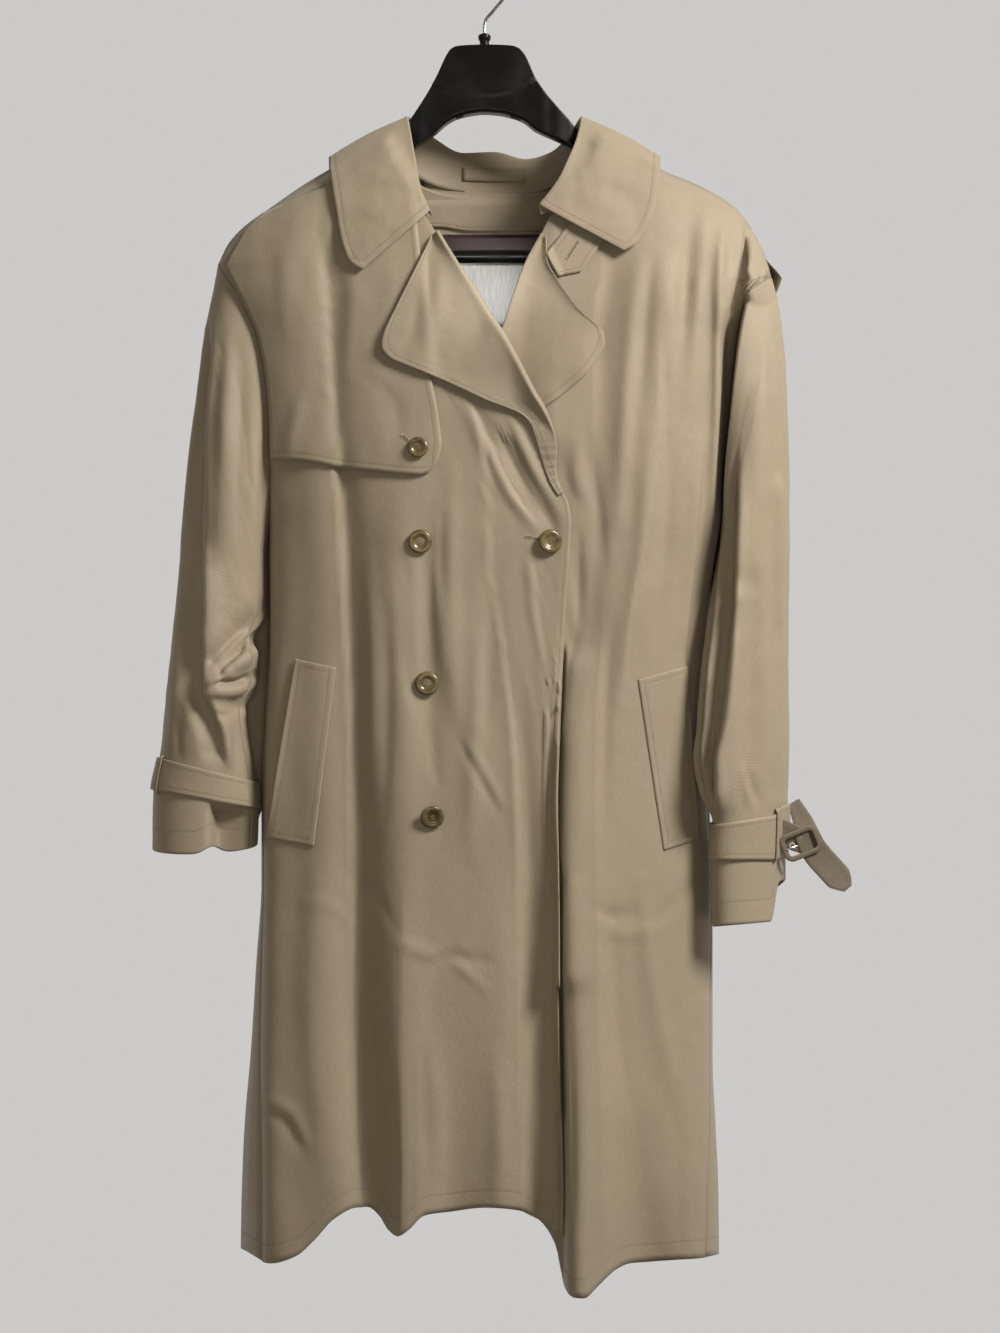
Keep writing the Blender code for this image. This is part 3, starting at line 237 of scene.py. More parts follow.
def section_depth(u, v):
    """0..1: how deep the body is at u, as a share of its full depth at height v."""
    l, r = body_left(v), body_right(v)
    x = np.clip(np.abs((u - (l + r) / 2.0) / ((r - l) / 2.0)), 0.0, 1.0)
    return (1.0 - x ** SECTION_POWER) ** (1.0 / SECTION_POWER)


# ------------------------------------------------------------------ the long folds
# name, path (v, u), half width at top and bottom, height at top and bottom (+ forward)
FOLDS = (
    ("chest_trough", ((200, 345), (380, 332), (460, 336), (560, 345), (760, 350), (1000, 360), (1215, 377)),
     17, 24, -3, -26),
    ("waist_ridge", ((500, 400), (900, 398), (1236, 398)), 22, 26, 2, 14),
    ("button_trough", ((540, 428), (640, 428), (740, 430)), 15, 15, -4, -4),
    ("side_ridge", ((900, 285), (1263, 276)), 24, 30, 0, 12),
    ("hem_trough", ((960, 462), (1210, 458)), 26, 40, 0, -14),
    ("edge_trough", ((700, 520), (850, 530), (1220, 540)), 16, 20, -4, -24),
    ("drag_trough", ((400, 475), (525, 550)), 14, 12, -5, -4),
    ("left_chest_trough", ((240, 616), (330, 602), (420, 600), (560, 590), (700, 575)), 14, 18, -5, -5),
    ("left_chest_ridge", ((240, 665), (500, 661), (620, 640)), 22, 26, 5, 4),
    ("shoulder_trough", ((240, 692), (340, 682)), 10, 10, -4, -3),
    ("left_hem_ridge", ((900, 585), (1290, 584)), 22, 26, 2, 10),
    ("left_hem_trough", ((1040, 618), (1265, 650)), 20, 32, 0, -12),
    ("left_side_ridge", ((980, 695), (1255, 692)), 22, 24, 0, 6),
)


def one_fold(u, v, fold):
    """A long fold begins softly, and ends softly too unless it runs out over the hem."""
    _, path, w0, w1, h0, h1 = fold
    start, end = path[0][0], path[-1][0]
    t = np.clip((v - start) / (end - start), 0.0, 1.15)
    fade = ramp(v, start - 45, start + 45)
    if end < 1100:
        fade = fade * (1.0 - ramp(v, end - 45, end + 60))
    w, h = lerp(w0, w1, t), lerp(h0, h1, t * t if abs(h1) > abs(h0) else t)
    return h * fade * np.exp(-((u - along(path, v)) / w) ** 2)


def folds(u, v):
    s = sum(one_fold(u, v, f) for f in FOLDS)
    edge = np.minimum(u - body_left(v), body_right(v) - u)
    return s * ramp(edge, 0, 24) * ramp(v, 190, 300)


# ------------------------------------------------------------------ creases set one by one
CREASE_HEIGHT = 1.6
# panel: (half width, height + outward, sharpness, points (u, v) ...)
CREASES = {
    "right": (
        # chest and flap
        (9, 1.6, 1.4, (300, 215), (292, 260), (288, 330)),
        (7, -1.2, 1.3, (322, 205), (318, 260), (322, 330)),
        (6, 1.2, 1.2, (352, 235), (356, 300), (352, 380)),
        (8, -1.4, 1.3, (382, 380), (398, 410), (402, 440)),
        # beside the buttons
        (10, 2.4, 1.3, (452, 470), (449, 560), (452, 660), (458, 720)),
        (7, -2.0, 1.2, (404, 560), (407, 640), (412, 700)),
        (6, 1.6, 1.2, (436, 560), (441, 620), (444, 672)),
        (5, -1.1, 1.0, (433, 735), (434, 760), (437, 782)),
        (4, -0.9, 1.0, (460, 742), (476, 772), (497, 812)),
        (4, 0.8, 1.0, (466, 738), (483, 768), (503, 806)),
        (9, 2.0, 1.3, (478, 640), (474, 760), (470, 850)),
        (8, -1.8, 1.3, (492, 560), (490, 650), (486, 720)),
        # drags to the overlap's button
        (8, 3.4, 1.2, (462, 392), (484, 440), (508, 490), (536, 524)),
        (7, -4.2, 1.1, (478, 398), (496, 432), (524, 494), (551, 528)),
        (6, 2.2, 1.1, (508, 414), (522, 446), (541, 484), (556, 508)),
        (6, 1.8, 1.1, (520, 470), (536, 500), (545, 522)),
        (6, -2.2, 1.2, (540, 566), (548, 600), (553, 640)),
        (7, 2.6, 1.3, (528, 560), (536, 610), (544, 668)),
        (5, -2.6, 1.1, (534, 548), (538, 566), (543, 590)),
        (5, -2.4, 1.1, (534, 586), (541, 622), (549, 664)),
        (5, -2.2, 1.1, (529, 652), (536, 690), (543, 730)),
        (6, -1.5, 1.2, (516, 570), (520, 620), (530, 680)),
        (8, 2.6, 1.3, (508, 690), (516, 790), (522, 880), (526, 960)),
        (7, -2.4, 1.3, (540, 700), (545, 800), (546, 900), (548, 1010)),
        # lower half
        (14, 4.2, 1.3, (283, 500), (282, 620), (280, 740), (277, 860), (275, 1000),
         (273, 1140), (272, 1250)),
        (13, 1.8, 1.3, (316, 880), (312, 980), (316, 1080), (324, 1180)),
        (5, -1.6, 1.1, (262, 1107), (284, 1118), (302, 1150)),
        (5, 1.3, 1.1, (264, 1098), (289, 1109), (309, 1146)),
        (7, 1.5, 1.1, (394, 940), (420, 951), (440, 956)),
        (5, -1.4, 1.0, (420, 968), (455, 957), (492, 962)),
        (5, -1.3, 1.0, (402, 990), (430, 977), (446, 956)),
        (4, 1.0, 1.0, (446, 956), (470, 975), (488, 990)),
        (10, 2.2, 1.3, (430, 1040), (436, 1120), (431, 1212)),
        (8, -2.0, 1.3, (415, 1060), (418, 1140), (414, 1225)),
        (9, 1.8, 1.3, (496, 1060), (500, 1140), (498, 1212)),
        (6, 0.9, 1.1, (282, 620), (279, 720), (276, 860)),
        (5, -0.9, 1.0, (345, 870), (370, 890), (392, 925)),
        (4, 0.8, 1.0, (300, 900), (330, 905), (352, 925)),
        (7, 1.6, 1.2, (368, 560), (372, 680), (370, 800)),
        (6, -1.2, 1.2, (386, 600), (388, 700), (384, 820)),
    ),
    "left": (
        (3.4, -5.5, 0.9, (747.5, 221), (746, 240), (743, 262), (738, 286), (731, 312)),
        (4.5, 2.4, 1.0, (743, 220), (740, 246), (733, 274), (726, 300), (720, 328)),
        (8, 2.2, 1.3, (640, 262), (630, 330), (624, 420), (618, 520)),
        (7, -1.8, 1.3, (652, 262), (646, 330), (642, 400)),
        (6, -1.6, 1.2, (690, 235), (684, 280), (681, 330)),
        (7, 2.2, 1.3, (704, 215), (700, 260), (694, 330), (690, 400)),
        (8, 2.0, 1.3, (572, 460), (582, 520), (588, 590)),
        (6, -1.6, 1.2, (585, 430), (597, 500), (604, 570)),
        (9, 2.6, 1.3, (650, 430), (644, 520), (632, 620), (618, 700)),
        (7, -2.0, 1.3, (672, 440), (668, 540), (655, 640)),
        (8, 1.8, 1.3, (697, 440), (694, 540), (684, 640)),
        (6, -1.2, 1.2, (612, 620), (606, 720), (604, 820)),
        (8, 1.8, 1.3, (590, 640), (582, 740), (580, 860)),
        (6, 1.0, 1.1, (566, 560), (572, 610), (580, 650)),
        (10, 2.2, 1.3, (640, 880), (652, 980), (668, 1080), (676, 1200)),
        (8, -1.9, 1.3, (612, 900), (616, 1000), (626, 1100)),
        (5, -1.2, 1.0, (590, 905), (612, 915), (640, 912)),
        (5, 1.0, 1.0, (600, 925), (628, 934), (662, 925)),
        (9, -2.0, 1.3, (662, 1060), (676, 1150), (680, 1250)),
        (7, 1.6, 1.2, (606, 1060), (606, 1160), (604, 1270)),
        (5, -0.9, 1.0, (690, 880), (672, 905), (650, 930)),
        (8, -2.4, 1.2, (571, 990), (572, 1100), (574, 1230)),
    ),
    "back": (
        (14, 3.4, 1.3, (330, 480), (322, 700), (330, 940), (318, 1230)),
        (10, -2.6, 1.3, (356, 520), (352, 760), (362, 1000), (352, 1225)),
        (12, 3.0, 1.3, (410, 600), (420, 820), (408, 1040), (414, 1225)),
        (9, -2.6, 1.3, (446, 560), (450, 800), (440, 1010), (446, 1225)),
        (13, 2.8, 1.3, (560, 500), (572, 760), (560, 980), (574, 1228)),
        (9, -2.4, 1.3, (600, 560), (596, 800), (610, 1020), (604, 1230)),
        (11, 3.2, 1.3, (652, 500), (640, 740), (648, 1010), (660, 1234)),
        (8, -2.0, 1.3, (680, 620), (672, 840), (684, 1060), (684, 1238)),
        (6, -1.4, 1.0, (300, 640), (340, 664), (380, 668)),
        (5, 1.2, 1.0, (620, 700), (660, 690), (690, 664)),
        (6, 1.4, 1.1, (470, 900), (500, 912), (540, 905)),
        (5, -1.1, 1.0, (380, 1010), (420, 1024), (466, 1018)),
        (6, -1.3, 1.0, (540, 1060), (580, 1074), (620, 1060)),
        (10, 2.0, 1.3, (286, 700), (282, 900), (272, 1100)),
    ),
}


# folds with one sharp side: depth, how far it fades to the wearer's left, where (v, u)
PLEATS = {
    "right": (
        (8.0, 30, (212, 317), (266, 320), (328, 324), (395, 328.5), (457, 335.7), (514, 340.5),
         (586, 344.3), (696, 350), (820, 352.5), (1000, 355), (1120, 359), (1250, 366)),
        (5.0, 34, (392, 473), (490, 488), (561, 490), (649, 504), (767, 516), (870, 519), (1000, 521),
         (1120, 524), (1260, 528)), (2.2, 12, (478, 443), (560, 440), (650, 441)),
    ),
    "left": (
        (3.4, 24, (318, 661), (419, 663.5), (538, 651.5), (586, 637), (720, 620)),
        (4.0, 16, (420, 709), (562, 694.6), (658, 687), (770, 685)),
        (3.0, 22, (240, 690), (290, 686), (350, 684)),
    ),
    "back": (
        (6.0, 30, (470, 372), (760, 364), (1230, 370)), (5.5, 28, (470, 612), (800, 622), (1230, 616)),
        (4.0, 24, (560, 540), (900, 548), (1230, 540)),
    ),
}


def pleat(u, v, deep, wide, *line):
    """A fold with one sharp side, fading to the wearer's left over its width."""
    start, end = line[0][0], line[-1][0]
    d = u - along(line, v)
    on = ramp(v, start - 6, start + 70) * (1.0 - ramp(v, end - 90, end))
    fade = np.exp(-np.maximum(d, 0.0) / wide) * (1.0 - ramp(d, wide, 2.6 * wide))
    return -deep * on * ramp(d, -2.6, 2.2) * fade


def near_segment(u, v, ax, ay, bx, by):
    """Distance from a straight run between two points, and the share of it that lies before."""
    t = np.clip(((u - ax) * (bx - ax) + (v - ay) * (by - ay)) / ((bx - ax) ** 2 + (by - ay) ** 2), 0, 1)
    return np.hypot(u - lerp(ax, bx, t), v - lerp(ay, by, t)), t


def stroke(u, v, half, height, sharp, *pts):
    """One crease: a soft ridge or trough along a line, fading toward both ends."""
    height = height * CREASE_HEIGHT
    pts = by_index(pts, 4 * (len(pts) - 1) + 1)
    run = travelled(pts)
    near = ((u > pts[:, 0].min() - 4 * half) & (u < pts[:, 0].max() + 4 * half)
            & (v > pts[:, 1].min() - 4 * half) & (v < pts[:, 1].max() + 4 * half))
    uu, vv = u[near], v[near]
    b, w = np.full(uu.shape, 1e9), np.zeros(uu.shape)
    for k in range(len(pts) - 1):
        d, t = near_segment(uu, vv, *pts[k], *pts[k + 1])
        closer = d < b
        b = np.where(closer, d, b)
        w = np.where(closer, lerp(run[k], run[k + 1], t), w)
    out = np.zeros(u.shape)
    ends = np.sin(math.pi * np.clip(lerp(0.06, 0.94, w / run[-1]), 0, 1)) ** 0.8
    out[near] = height * np.exp(-(b / half) ** (2.0 / sharp * 1.15)) * ends
    return out


def cloud(u, v, scale_u, scale_v, seed, octaves=2):
    """Smooth noise over the draft, about -1..1."""
    flat = [noise.fractal(Vector((a / scale_u, b / scale_v, seed)), 0.9, 2.1, octaves)
            for a, b in zip(u.ravel(), v.ravel())]
    return np.array(flat).reshape(u.shape)


def worn(u, v, panel):
    """Every small movement of a panel's cloth, outward, in mm."""
    s = sum(stroke(u, v, *c) for c in CREASES[panel]) + sum(pleat(u, v, *c) for c in PLEATS[panel])
    seed = {"right": 1.7, "left": 5.3, "back": 9.1}[panel]
    return s + cloud(u, v, 46, 150, seed) + 0.25 * cloud(u, v, 17, 34, seed + 20)


def top_front_y(u, v):
    """Mid-surface of the front that laps over."""
    return -body_front(v) * section_depth(u, v) - folds(u, v)


# ------------------------------------------------------------------ outlines
#                    u    v
RIGHT_FRONT_TOP = ((219, 263), (229, 243), (246, 225), (273, 206), (303, 185), (328, 170), (360, 150),
                   (386, 136), (392, 152), (399, 170), (407, 188), (417, 205), (429, 221), (437, 234),
                   (466, 280), (500, 333), (541, 411), (557, 452))
RIGHT_FRONT_HEM = ((241, 1245), (256, 1259), (271, 1263), (295, 1256), (312, 1241), (333, 1218),
                   (355, 1207), (366, 1207), (378, 1216), (388, 1230), (397, 1236), (409, 1229),
                   (426, 1214), (450, 1211), (485, 1207), (519, 1210), (540, 1220), (564, 1236))
# how wide the gap beside the overlap's edge is: v, width
SLIT = ((645, 0.0), (665, 0.8), (720, 1.2), (800, 1.4), (856, 2.0), (882, 3.6), (900, 2.6), (925, 1.6),
        (940, 1.8), (968, 1.0), (990, 0.0))
#               v    u      edge of the overlap
LAP_EDGE = ((452, 557), (467, 556), (488, 561), (502, 568), (522, 571), (543, 570), (604, 566), (645, 564),
            (732, 560), (812, 558), (938, 559), (977, 559), (1055, 560), (1174, 562), (1240, 563))
LEFT_FRONT_TOP = ((402, 480), (440, 430), (500, 335), (514, 295), (525, 264), (541, 234), (549, 218),
                  (562, 204), (576, 189), (587, 172), (595, 153), (601, 137), (630, 150), (662, 170),
                  (698, 185), (733, 206), (749, 225), (759, 243), (767, 262), (771, 277))
LEFT_FRONT_HEM = ((400, 1232), (426, 1214), (450, 1211), (485, 1207), (519, 1210), (540, 1220), (556, 1245),
                  (561, 1268), (566, 1288), (573, 1297), (583, 1298), (596, 1287), (615, 1269), (629, 1263),
                  (653, 1261), (696, 1258), (719, 1255))
BACK_NECK = ((386, 136), (396, 154), (408, 173), (427, 188), (453, 195), (494, 199), (532, 197), (558, 190),
             (579, 173), (592, 154), (601, 137))


lap_edge = column(LAP_EDGE, 1)
# share of ARMHOLE_PIT at v
PIT_DEPTH = ((214, 0), (232, 0.07), (256, 0.16), (282, 0.30), (300, 0.55), (340, 1), (480, 1), (540, 0),
             (600, 0))
#          v    first ridge  edge of the deep fold
PIT_LINE = ((216, 728, 746), (248, 721, 741), (276, 720, 735), (304, 719, 727), (331, 718.5, 721),
            (400, 718, 720),
            (480, 716, 718), (540, 712, 714), (640, 702, 708))


def left_front_y(u, v):
    """The front that laps under, then steps forward past the overlap's edge."""
    y = top_front_y(u, v)
    e = lap_edge(v)
    far = 8.0 * (1.0 - ramp(v, 620, 720))
    under = lerp(5.2, 4.6, ramp(v, 470, 620)) * (1.0 - ramp(u, e + 1.0 + far, e + 7.0 + 2 * far))
    under = under * lerp(1.0 - ramp(u, 522, 556), 1.0, ramp(v, 432, 472))
    step = HEM_STEP * ramp(v, 640, 1240)
    step = step * ramp(u, e + 0.8, e + 6.0) * (1.0 - ramp(u, e + 14, e + 80))
    slit = along(SLIT, v)
    shut = ramp(v, 640, 670) * (1.0 - ramp(v, 975, 1000))
    back_of_edge = 5.0 * ramp(v, 640, 760) * (1.0 - shut)
    back_of_edge = back_of_edge * (1.0 - ramp(u, e + 3, e + 16)) * ramp(u, e - 14, e)
    # the gap beside the edge, and the roll of the cloth past it
    past = ramp(u, e + 0.9 + slit, e + 2.6 + slit)
    roll = SLIT_ROLL * ramp(u, e + 1, e + 13) * (1.0 - ramp(u, e + 15, e + 46))
    back_of_edge = back_of_edge + shut * (SLIT_DEEP * ramp(u, e - 9, e - 2) * (1.0 - past) - roll)
    under = under * (1.0 - 0.8 * shut * past)
    # the deep fold before the armhole, and the ridge beside it
    ridge, deep = column(PIT_LINE, 1)(v), column(PIT_LINE, 2)(v)
    narrow = ramp(v, 262, 310)
    pit = ARMHOLE_PIT * ramp(u, deep - lerp(16, 2, narrow), deep
                             + lerp(1.5, 5.5, narrow)) * along(PIT_DEPTH, v)
    pit = pit * (1.0 - ramp(u, 745.0, 747.5) * (1.0 - ramp(v, 298, 306)))
    lip = 5.5 * np.exp(-((u - ridge) / np.where(u > ridge, 3.6, 6.0)) ** 2)
    lip = lip * ramp(v, 212, 280) * (1.0 - ramp(v, 500, 600))
    return y + under - step + back_of_edge + pit - lip


def back_y(u, v):
    y = body_back(v) * section_depth(u, v)
    edge = np.minimum(u - body_left(v), body_right(v) - u)
    soft = ramp(edge, 10, 70) * ramp(v, 330, 900)
    return y + soft * (7.0 * np.cos((u - 500) / 34.0) + 4.0 * np.cos((u - 430) / 57.0))


def panel_grid(tops, hems, top_line, hem_line, rows, side, edge, side_first=True, pin=None, times=1):
    """(u, v) of a panel: columns run from the top line to the hem, the first and last follow its edges."""
    n = len(tops)
    t = np.linspace(0, 1, rows)[:, None]
    t = lerp(t, t * t, 0.45)
    v = lerp(along(top_line, tops), along(hem_line, hems), t)
    s = np.linspace(0, 1, n)
    first, last = (side, edge) if side_first else (edge, side)

    def shift(j, curve):
        a, b = along(top_line, tops[j]), along(hem_line, hems[j])
        straight = lerp(tops[j], hems[j], (v - a) / (b - a))
        return np.where(v <= a, curve(a) - tops[j], curve(np.maximum(v, a)) - straight)

    soft = ramp(t, 0, 0.02) * np.ones(n)
    soft0, soft1 = soft.copy(), soft.copy()
    soft0[:, 0], soft1[:, -1] = 1.0, 1.0
    soft0[0], soft1[0] = 0.0, 0.0
    u = lerp(tops, hems, t) + (1 - s) ** 2 * shift(0, first) * soft0 + s ** 2 * shift(n - 1, last) * soft1
    if pin:
        j0, curve = pin
        j = np.arange(n)
        w = np.clip(1.0 - np.maximum(0, np.abs(j - j0) / times - 1) / 5.0, 0, 1) * ramp(v, 440, 600)
        lin = lerp(tops[j0], hems[j0],
                   t) + (1 - s[j0]) ** 2 * shift(0, first) + s[j0] ** 2 * shift(n - 1, last)
        u = u + w * (curve(v) - lin)
    return u, v


# ------------------------------------------------------------------ laying one ply on another
class Ground:
    """The plies laid so far, seen from the front (or from the back)."""

    def __init__(self, facing=-1):
        self.facing, self.trees = facing, []

    def add(self, g):
        quads = grid_quads(*g.shape[:2])[:, [0, 3, 2, 1]]
        self.trees.append(BVHTree.FromPolygons(g.reshape(-1, 3).tolist(), quads.tolist()))
        return g

    def height(self, u, v, lift):
        """Depth of the topmost ply at a point, moved out by lift, or None beside them all."""
        best = None
        for tree in self.trees:
            hit, n, _, _ = tree.ray_cast(Vector((u, v, 500.0 * self.facing)), Vector((0, 0, -self.facing)))
            if hit is None:
                continue
            y = hit.z + self.facing * lift / max(0.42, abs(n.z))
            if best is None or (y - best) * self.facing > 0:
                best = y
        return best

    def lay(self, u, v, lift=PLY, reach=4.0):
        """The same for cloth too stiff to follow what is smaller than its reach."""
        spots = ((0, 0), (reach, 0), (-reach, 0), (0, reach), (0, -reach))
        ys = [self.height(u + a, v + b, lift) for a, b in spots]
        ys = [y for y in ys if y is not None]
        if not ys:
            return None
        return min(ys) if self.facing < 0 else max(ys)


def soften(y, times):
    """Average a grid of depths with its neighbours."""
    for _ in range(times):
        p = np.pad(y, 1, mode="edge")
        y = 0.5 * y + 0.125 * (p[:-2, 1:-1] + p[2:, 1:-1] + p[1:-1, :-2] + p[1:-1, 2:])
    return y


def laid(ground, uv, lift=PLY, extra=None, reach=4.0, soft=2):
    """A grid of (u, v) laid on the plies below; extra(i, j, u, v) lifts it, by its shares down and across."""
    uv = np.asarray(uv, float)
    y = np.array([[ground.lay(a, b, lift, reach) for a, b in row] for row in uv], dtype=object)
    for i in range(y.shape[0]):
        known = [k for k in range(y.shape[1]) if y[i, k] is not None]
        for k in range(y.shape[1]):
            if y[i, k] is None:
                y[i, k] = y[i, min(known, key=lambda q: abs(q - k))] if known else 0.0
    y = soften(y.astype(float), soft)
    if extra:
        i = np.linspace(0, 1, y.shape[0])[:, None]
        j = np.linspace(0, 1, y.shape[1])[None, :]
        y = y + ground.facing * extra(i, j, uv[..., 0], uv[..., 1])
    return np.concatenate((uv, y[..., None]), -1)


def between(left, right, cols):
    """Rows of (u, v) between two lines of the same number of points."""
    t = np.linspace(0, 1, cols)[None, :, None]
    return lerp(np.asarray(left, float)[:, None, :], np.asarray(right, float)[:, None, :], t)


# ------------------------------------------------------------------ making cloth
COAT = bpy.data.collections.new("coat")
bpy.context.scene.collection.children.link(COAT)


def normals(P, closed=False):
    """Unit normals of a grid in the frame; a front panel's point toward -Y."""
    du = np.roll(P, -1, 1) - np.roll(P, 1, 1) if closed else np.gradient(P, axis=1)
    return unit(np.cross(np.gradient(P, axis=0), du))


def runs(P):
    """Distances in mm of each point of a grid from its first, last, top and low borders."""
    steps = {k: np.diff(P, axis=k, prepend=np.take(P, [0], k)) for k in (1, 0)}
    a, b = (np.cumsum(np.linalg.norm(steps[k], axis=2), axis=k) * 1000.0 for k in (1, 0))
    return {"first": a, "last": a[:, -1:] - a, "top": b, "low": b[-1:] - b}


def join_object(name, mesh, mat, nodes=()):
    """A piece of the coat, in the place of the CAD nodes that it stands for."""
    mesh.materials.clear()
    mesh.materials.append(mat)
    ob = bpy.data.objects.new(name, mesh)
    COAT.objects.link(ob)
    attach(ob, "root")
    if nodes:
        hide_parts(*nodes)
    return ob


class Cloth:
    """One sheet of cloth in the frame, with what is sewn along its borders.

    lines: (side, inset) of each row of stitches; free: sides that are edges of
    the cloth and not seams, where it is doubled and a little thicker.
    """

    def __init__(self, name, P, mat, nodes=(), wall=WALL, lines=(), free=(), out=(0, -1, 0), centre=None,
                 closed=False, slot="khaki_gabardine", puff=0.06):
        self.name, self.wall, self.lines, self.closed = name, wall, lines, closed
        n = normals(P, closed)
        ref = (P - centre) if centre is not None else np.array(out, float)
        flip = np.sum(n * ref) < 0
        self.N = -n if flip else n
        self.D = runs(P)
        # how far each point is from a row of stitches, and from a free edge; by these the material paints
        # shade along the stitches and a highlight along the edges
        near = np.full(P.shape[:2], 99.0)
        for side, inset in lines:
            d = self.D[side] - inset
            for other, gap in lines:
                if other != side and {side, other} not in ({"first", "last"}, {"top", "low"}):
                    d = np.where(self.D[other] < gap - 0.6, 99.0, d)
            near = np.where(np.abs(d) < np.abs(near), d, near)
        edge = np.full(P.shape[:2], 99.0)
        for side in free:
            edge = np.minimum(edge, self.D[side])
        if lines and puff:
            bump = puff * (np.exp(-((edge - 4.0) / 3.0) ** 2)) - 0.05 * np.exp(-(near / 1.3) ** 2)
            P = P + self.N * bump[..., None] / 1000.0
        self.P = P
        quads = grid_quads(*P.shape[:2], around=closed)
        if flip:
            quads = quads[:, ::-1]
        mesh = bpy.data.meshes.new(name)
        mesh.from_pydata(P.reshape(-1, 3).tolist(), [], quads.tolist())
        mesh.shade_smooth()
        across, mid = self.D["first"], P.shape[1] // 2
        uv = np.stack((across - across[:, mid:mid + 1], -self.D["top"]), -1).reshape(-1, 2) / 1000.0
        loops = np.empty(len(mesh.loops), np.int32)
        mesh.loops.foreach_get("vertex_index", loops)
        layer = mesh.uv_layers.new(name="cloth")
        layer.data.foreach_set("uv", uv[loops].astype(np.float32).ravel())
        for label, values in (("seam", near), ("edge", edge)):
            at = mesh.attributes.new(label, "FLOAT", "POINT")
            at.data.foreach_set("value", values.astype(np.float32).ravel())
        self.ob = join_object(name, mesh, mat, nodes)
        m = self.ob.modifiers.new("wall", "SOLIDIFY")
        m.thickness, m.offset, m.use_even_offset = wall / 1000.0, 0.0, False

    def line(self, side, inset, trim=()):
        """Points and normals along the cloth, inset from a border."""
        D = self.D[side]
        across = 1 if side in ("first", "last") else 0
        D, P, N = (np.moveaxis(a, across, 0) for a in (D, self.P, self.N))
        if side in ("last", "low"):
            D, P, N = D[::-1], P[::-1], N[::-1]
        pts, nor = [], []
        for k in range(D.shape[1]):
            d = D[:, k]
            i = int(np.clip(np.searchsorted(d, inset), 1, len(d) - 1))
            t = (inset - d[i - 1]) / max(1e-9, d[i] - d[i - 1])
            pts.append(lerp(P[i - 1, k], P[i, k], t))
            nor.append(lerp(N[i - 1, k], N[i, k], t))
        pts, nor = np.array(pts), np.array(nor)
        if self.closed:
            return np.concatenate((pts, pts[:1])), np.concatenate((nor, nor[:1]))
        keep = np.ones(len(pts), bool)
        run = travelled(pts) * 1000.0
        for o, gap in trim:
            keep &= (run >= gap) if o in ("first", "top") else (run[-1] - run >= gap)
        return pts[keep], nor[keep]


class Thread:
    """Rows of stitches, gathered into one piece."""

    def __init__(self):
        self.v, self.f = [], []

    def dash(self, a, b, n, wide, high):
        """One stitch from a to b, on a surface with the normal n: a low bar with sloping ends and sides."""
        t = unit(b - a, 1e-9)
        s = unit(np.cross(t, n), 1e-9) * wide / 2000.0
        up, end = n * high / 1000.0, t * 0.0003
        k = len(self.v)
        self.v += [a - s, a + s, b + s, b - s]
        self.v += [a + end - s * 0.6 + up, a + end + s * 0.6 + up, b - end + s * 0.6 + up, b - end
                   - s * 0.6 + up]
        self.f += [(k + 4, k + 5, k + 6, k + 7), (k + 3, k + 2, k + 1, k)]
        self.f += [(k + i, k + (i + 1) % 4, k + 4 + (i + 1) % 4, k + 4 + i) for i in range(4)]

    def sew(self, pts, nor, wall, pitch=3.3, long=2.3, wide=0.62, high=0.34):
        """Stitches along a line that lies on the cloth's outer face."""
        if len(pts) < 2:
            return
        run = travelled(pts) * 1000.0

        def at(x, values):
            return np.array([np.interp(x, run, values[:, k]) for k in range(3)])

        for k in range(int((run[-1] - long) / pitch) + 1):
            x = k * pitch + 0.5
            n = unit(at(x + long / 2, nor), 1e-9)
            lift = n * (wall / 2.0 - 0.06) / 1000.0
            self.dash(at(x, pts) + lift, at(min(run[-1], x + long), pts) + lift, n, wide, high)

    def piece(self, name, mat, slot="khaki_gabardine"):
        if not self.v:
            return None
        mesh = bpy.data.meshes.new(name)
        mesh.from_pydata([tuple(p) for p in self.v], [], self.f)
        outward(mesh)
        return join_object(name, mesh, mat)


def sewn(cloth, mat, **how):
    """All the rows of stitches of one cloth."""
    thread = Thread()
    down, across = ("first", "last"), ("top", "low")
    for side, inset in cloth.lines:
        trim = [(o, gap) for o, gap in cloth.lines if o in (across if side in down else down)]
        pts, nor = cloth.line(side, inset, trim)
        thread.sew(pts, nor, cloth.wall, **how)
    return thread.piece(cloth.name + "_stitches", mat)


def wear(g, panel, still):
    """A draft grid moved by its creases, held still at its seamed borders."""
    P = place(g)
    N = normals(P)
    D = runs(P)
    s = worn(g[..., 0], g[..., 1], panel)
    for side, reach in still:
        s = s * ramp(D[side], 0.0, reach)
    if panel == "back":
        N = -N
    return draft(P + N * s[..., None] / 1000.0)


# ------------------------------------------------------------------ materials
def new_material(name):
    m = bpy.data.materials.new(name)
    m.use_nodes = True
    return m, m.node_tree, m.node_tree.nodes["Principled BSDF"]


def node(tree, kind, **values):
    n = tree.nodes.new(kind)
    for key, val in values.items():
        if key in n.inputs:
            n.inputs[key].default_value = val
        else:
            setattr(n, key, val)
    return n


def mix_colour(tree, factor, a, b):
    n = tree.nodes.new("ShaderNodeMix")
    n.data_type = "RGBA"
    for socket, val in ((n.inputs[0], factor), (n.inputs[6], a), (n.inputs[7], b)):
        if isinstance(val, (int, float)):
            socket.default_value = val
        elif isinstance(val, tuple):
            socket.default_value = (*val, 1.0)
        else:
            tree.links.new(val, socket)
    return n.outputs[2]


def math_node(tree, op, *values):
    n = node(tree, "ShaderNodeMath", operation=op)
    for socket, val in zip(n.inputs, values):
        if isinstance(val, (int, float)):
            socket.default_value = val
        else:
            tree.links.new(val, socket)
    return n.outputs[0]


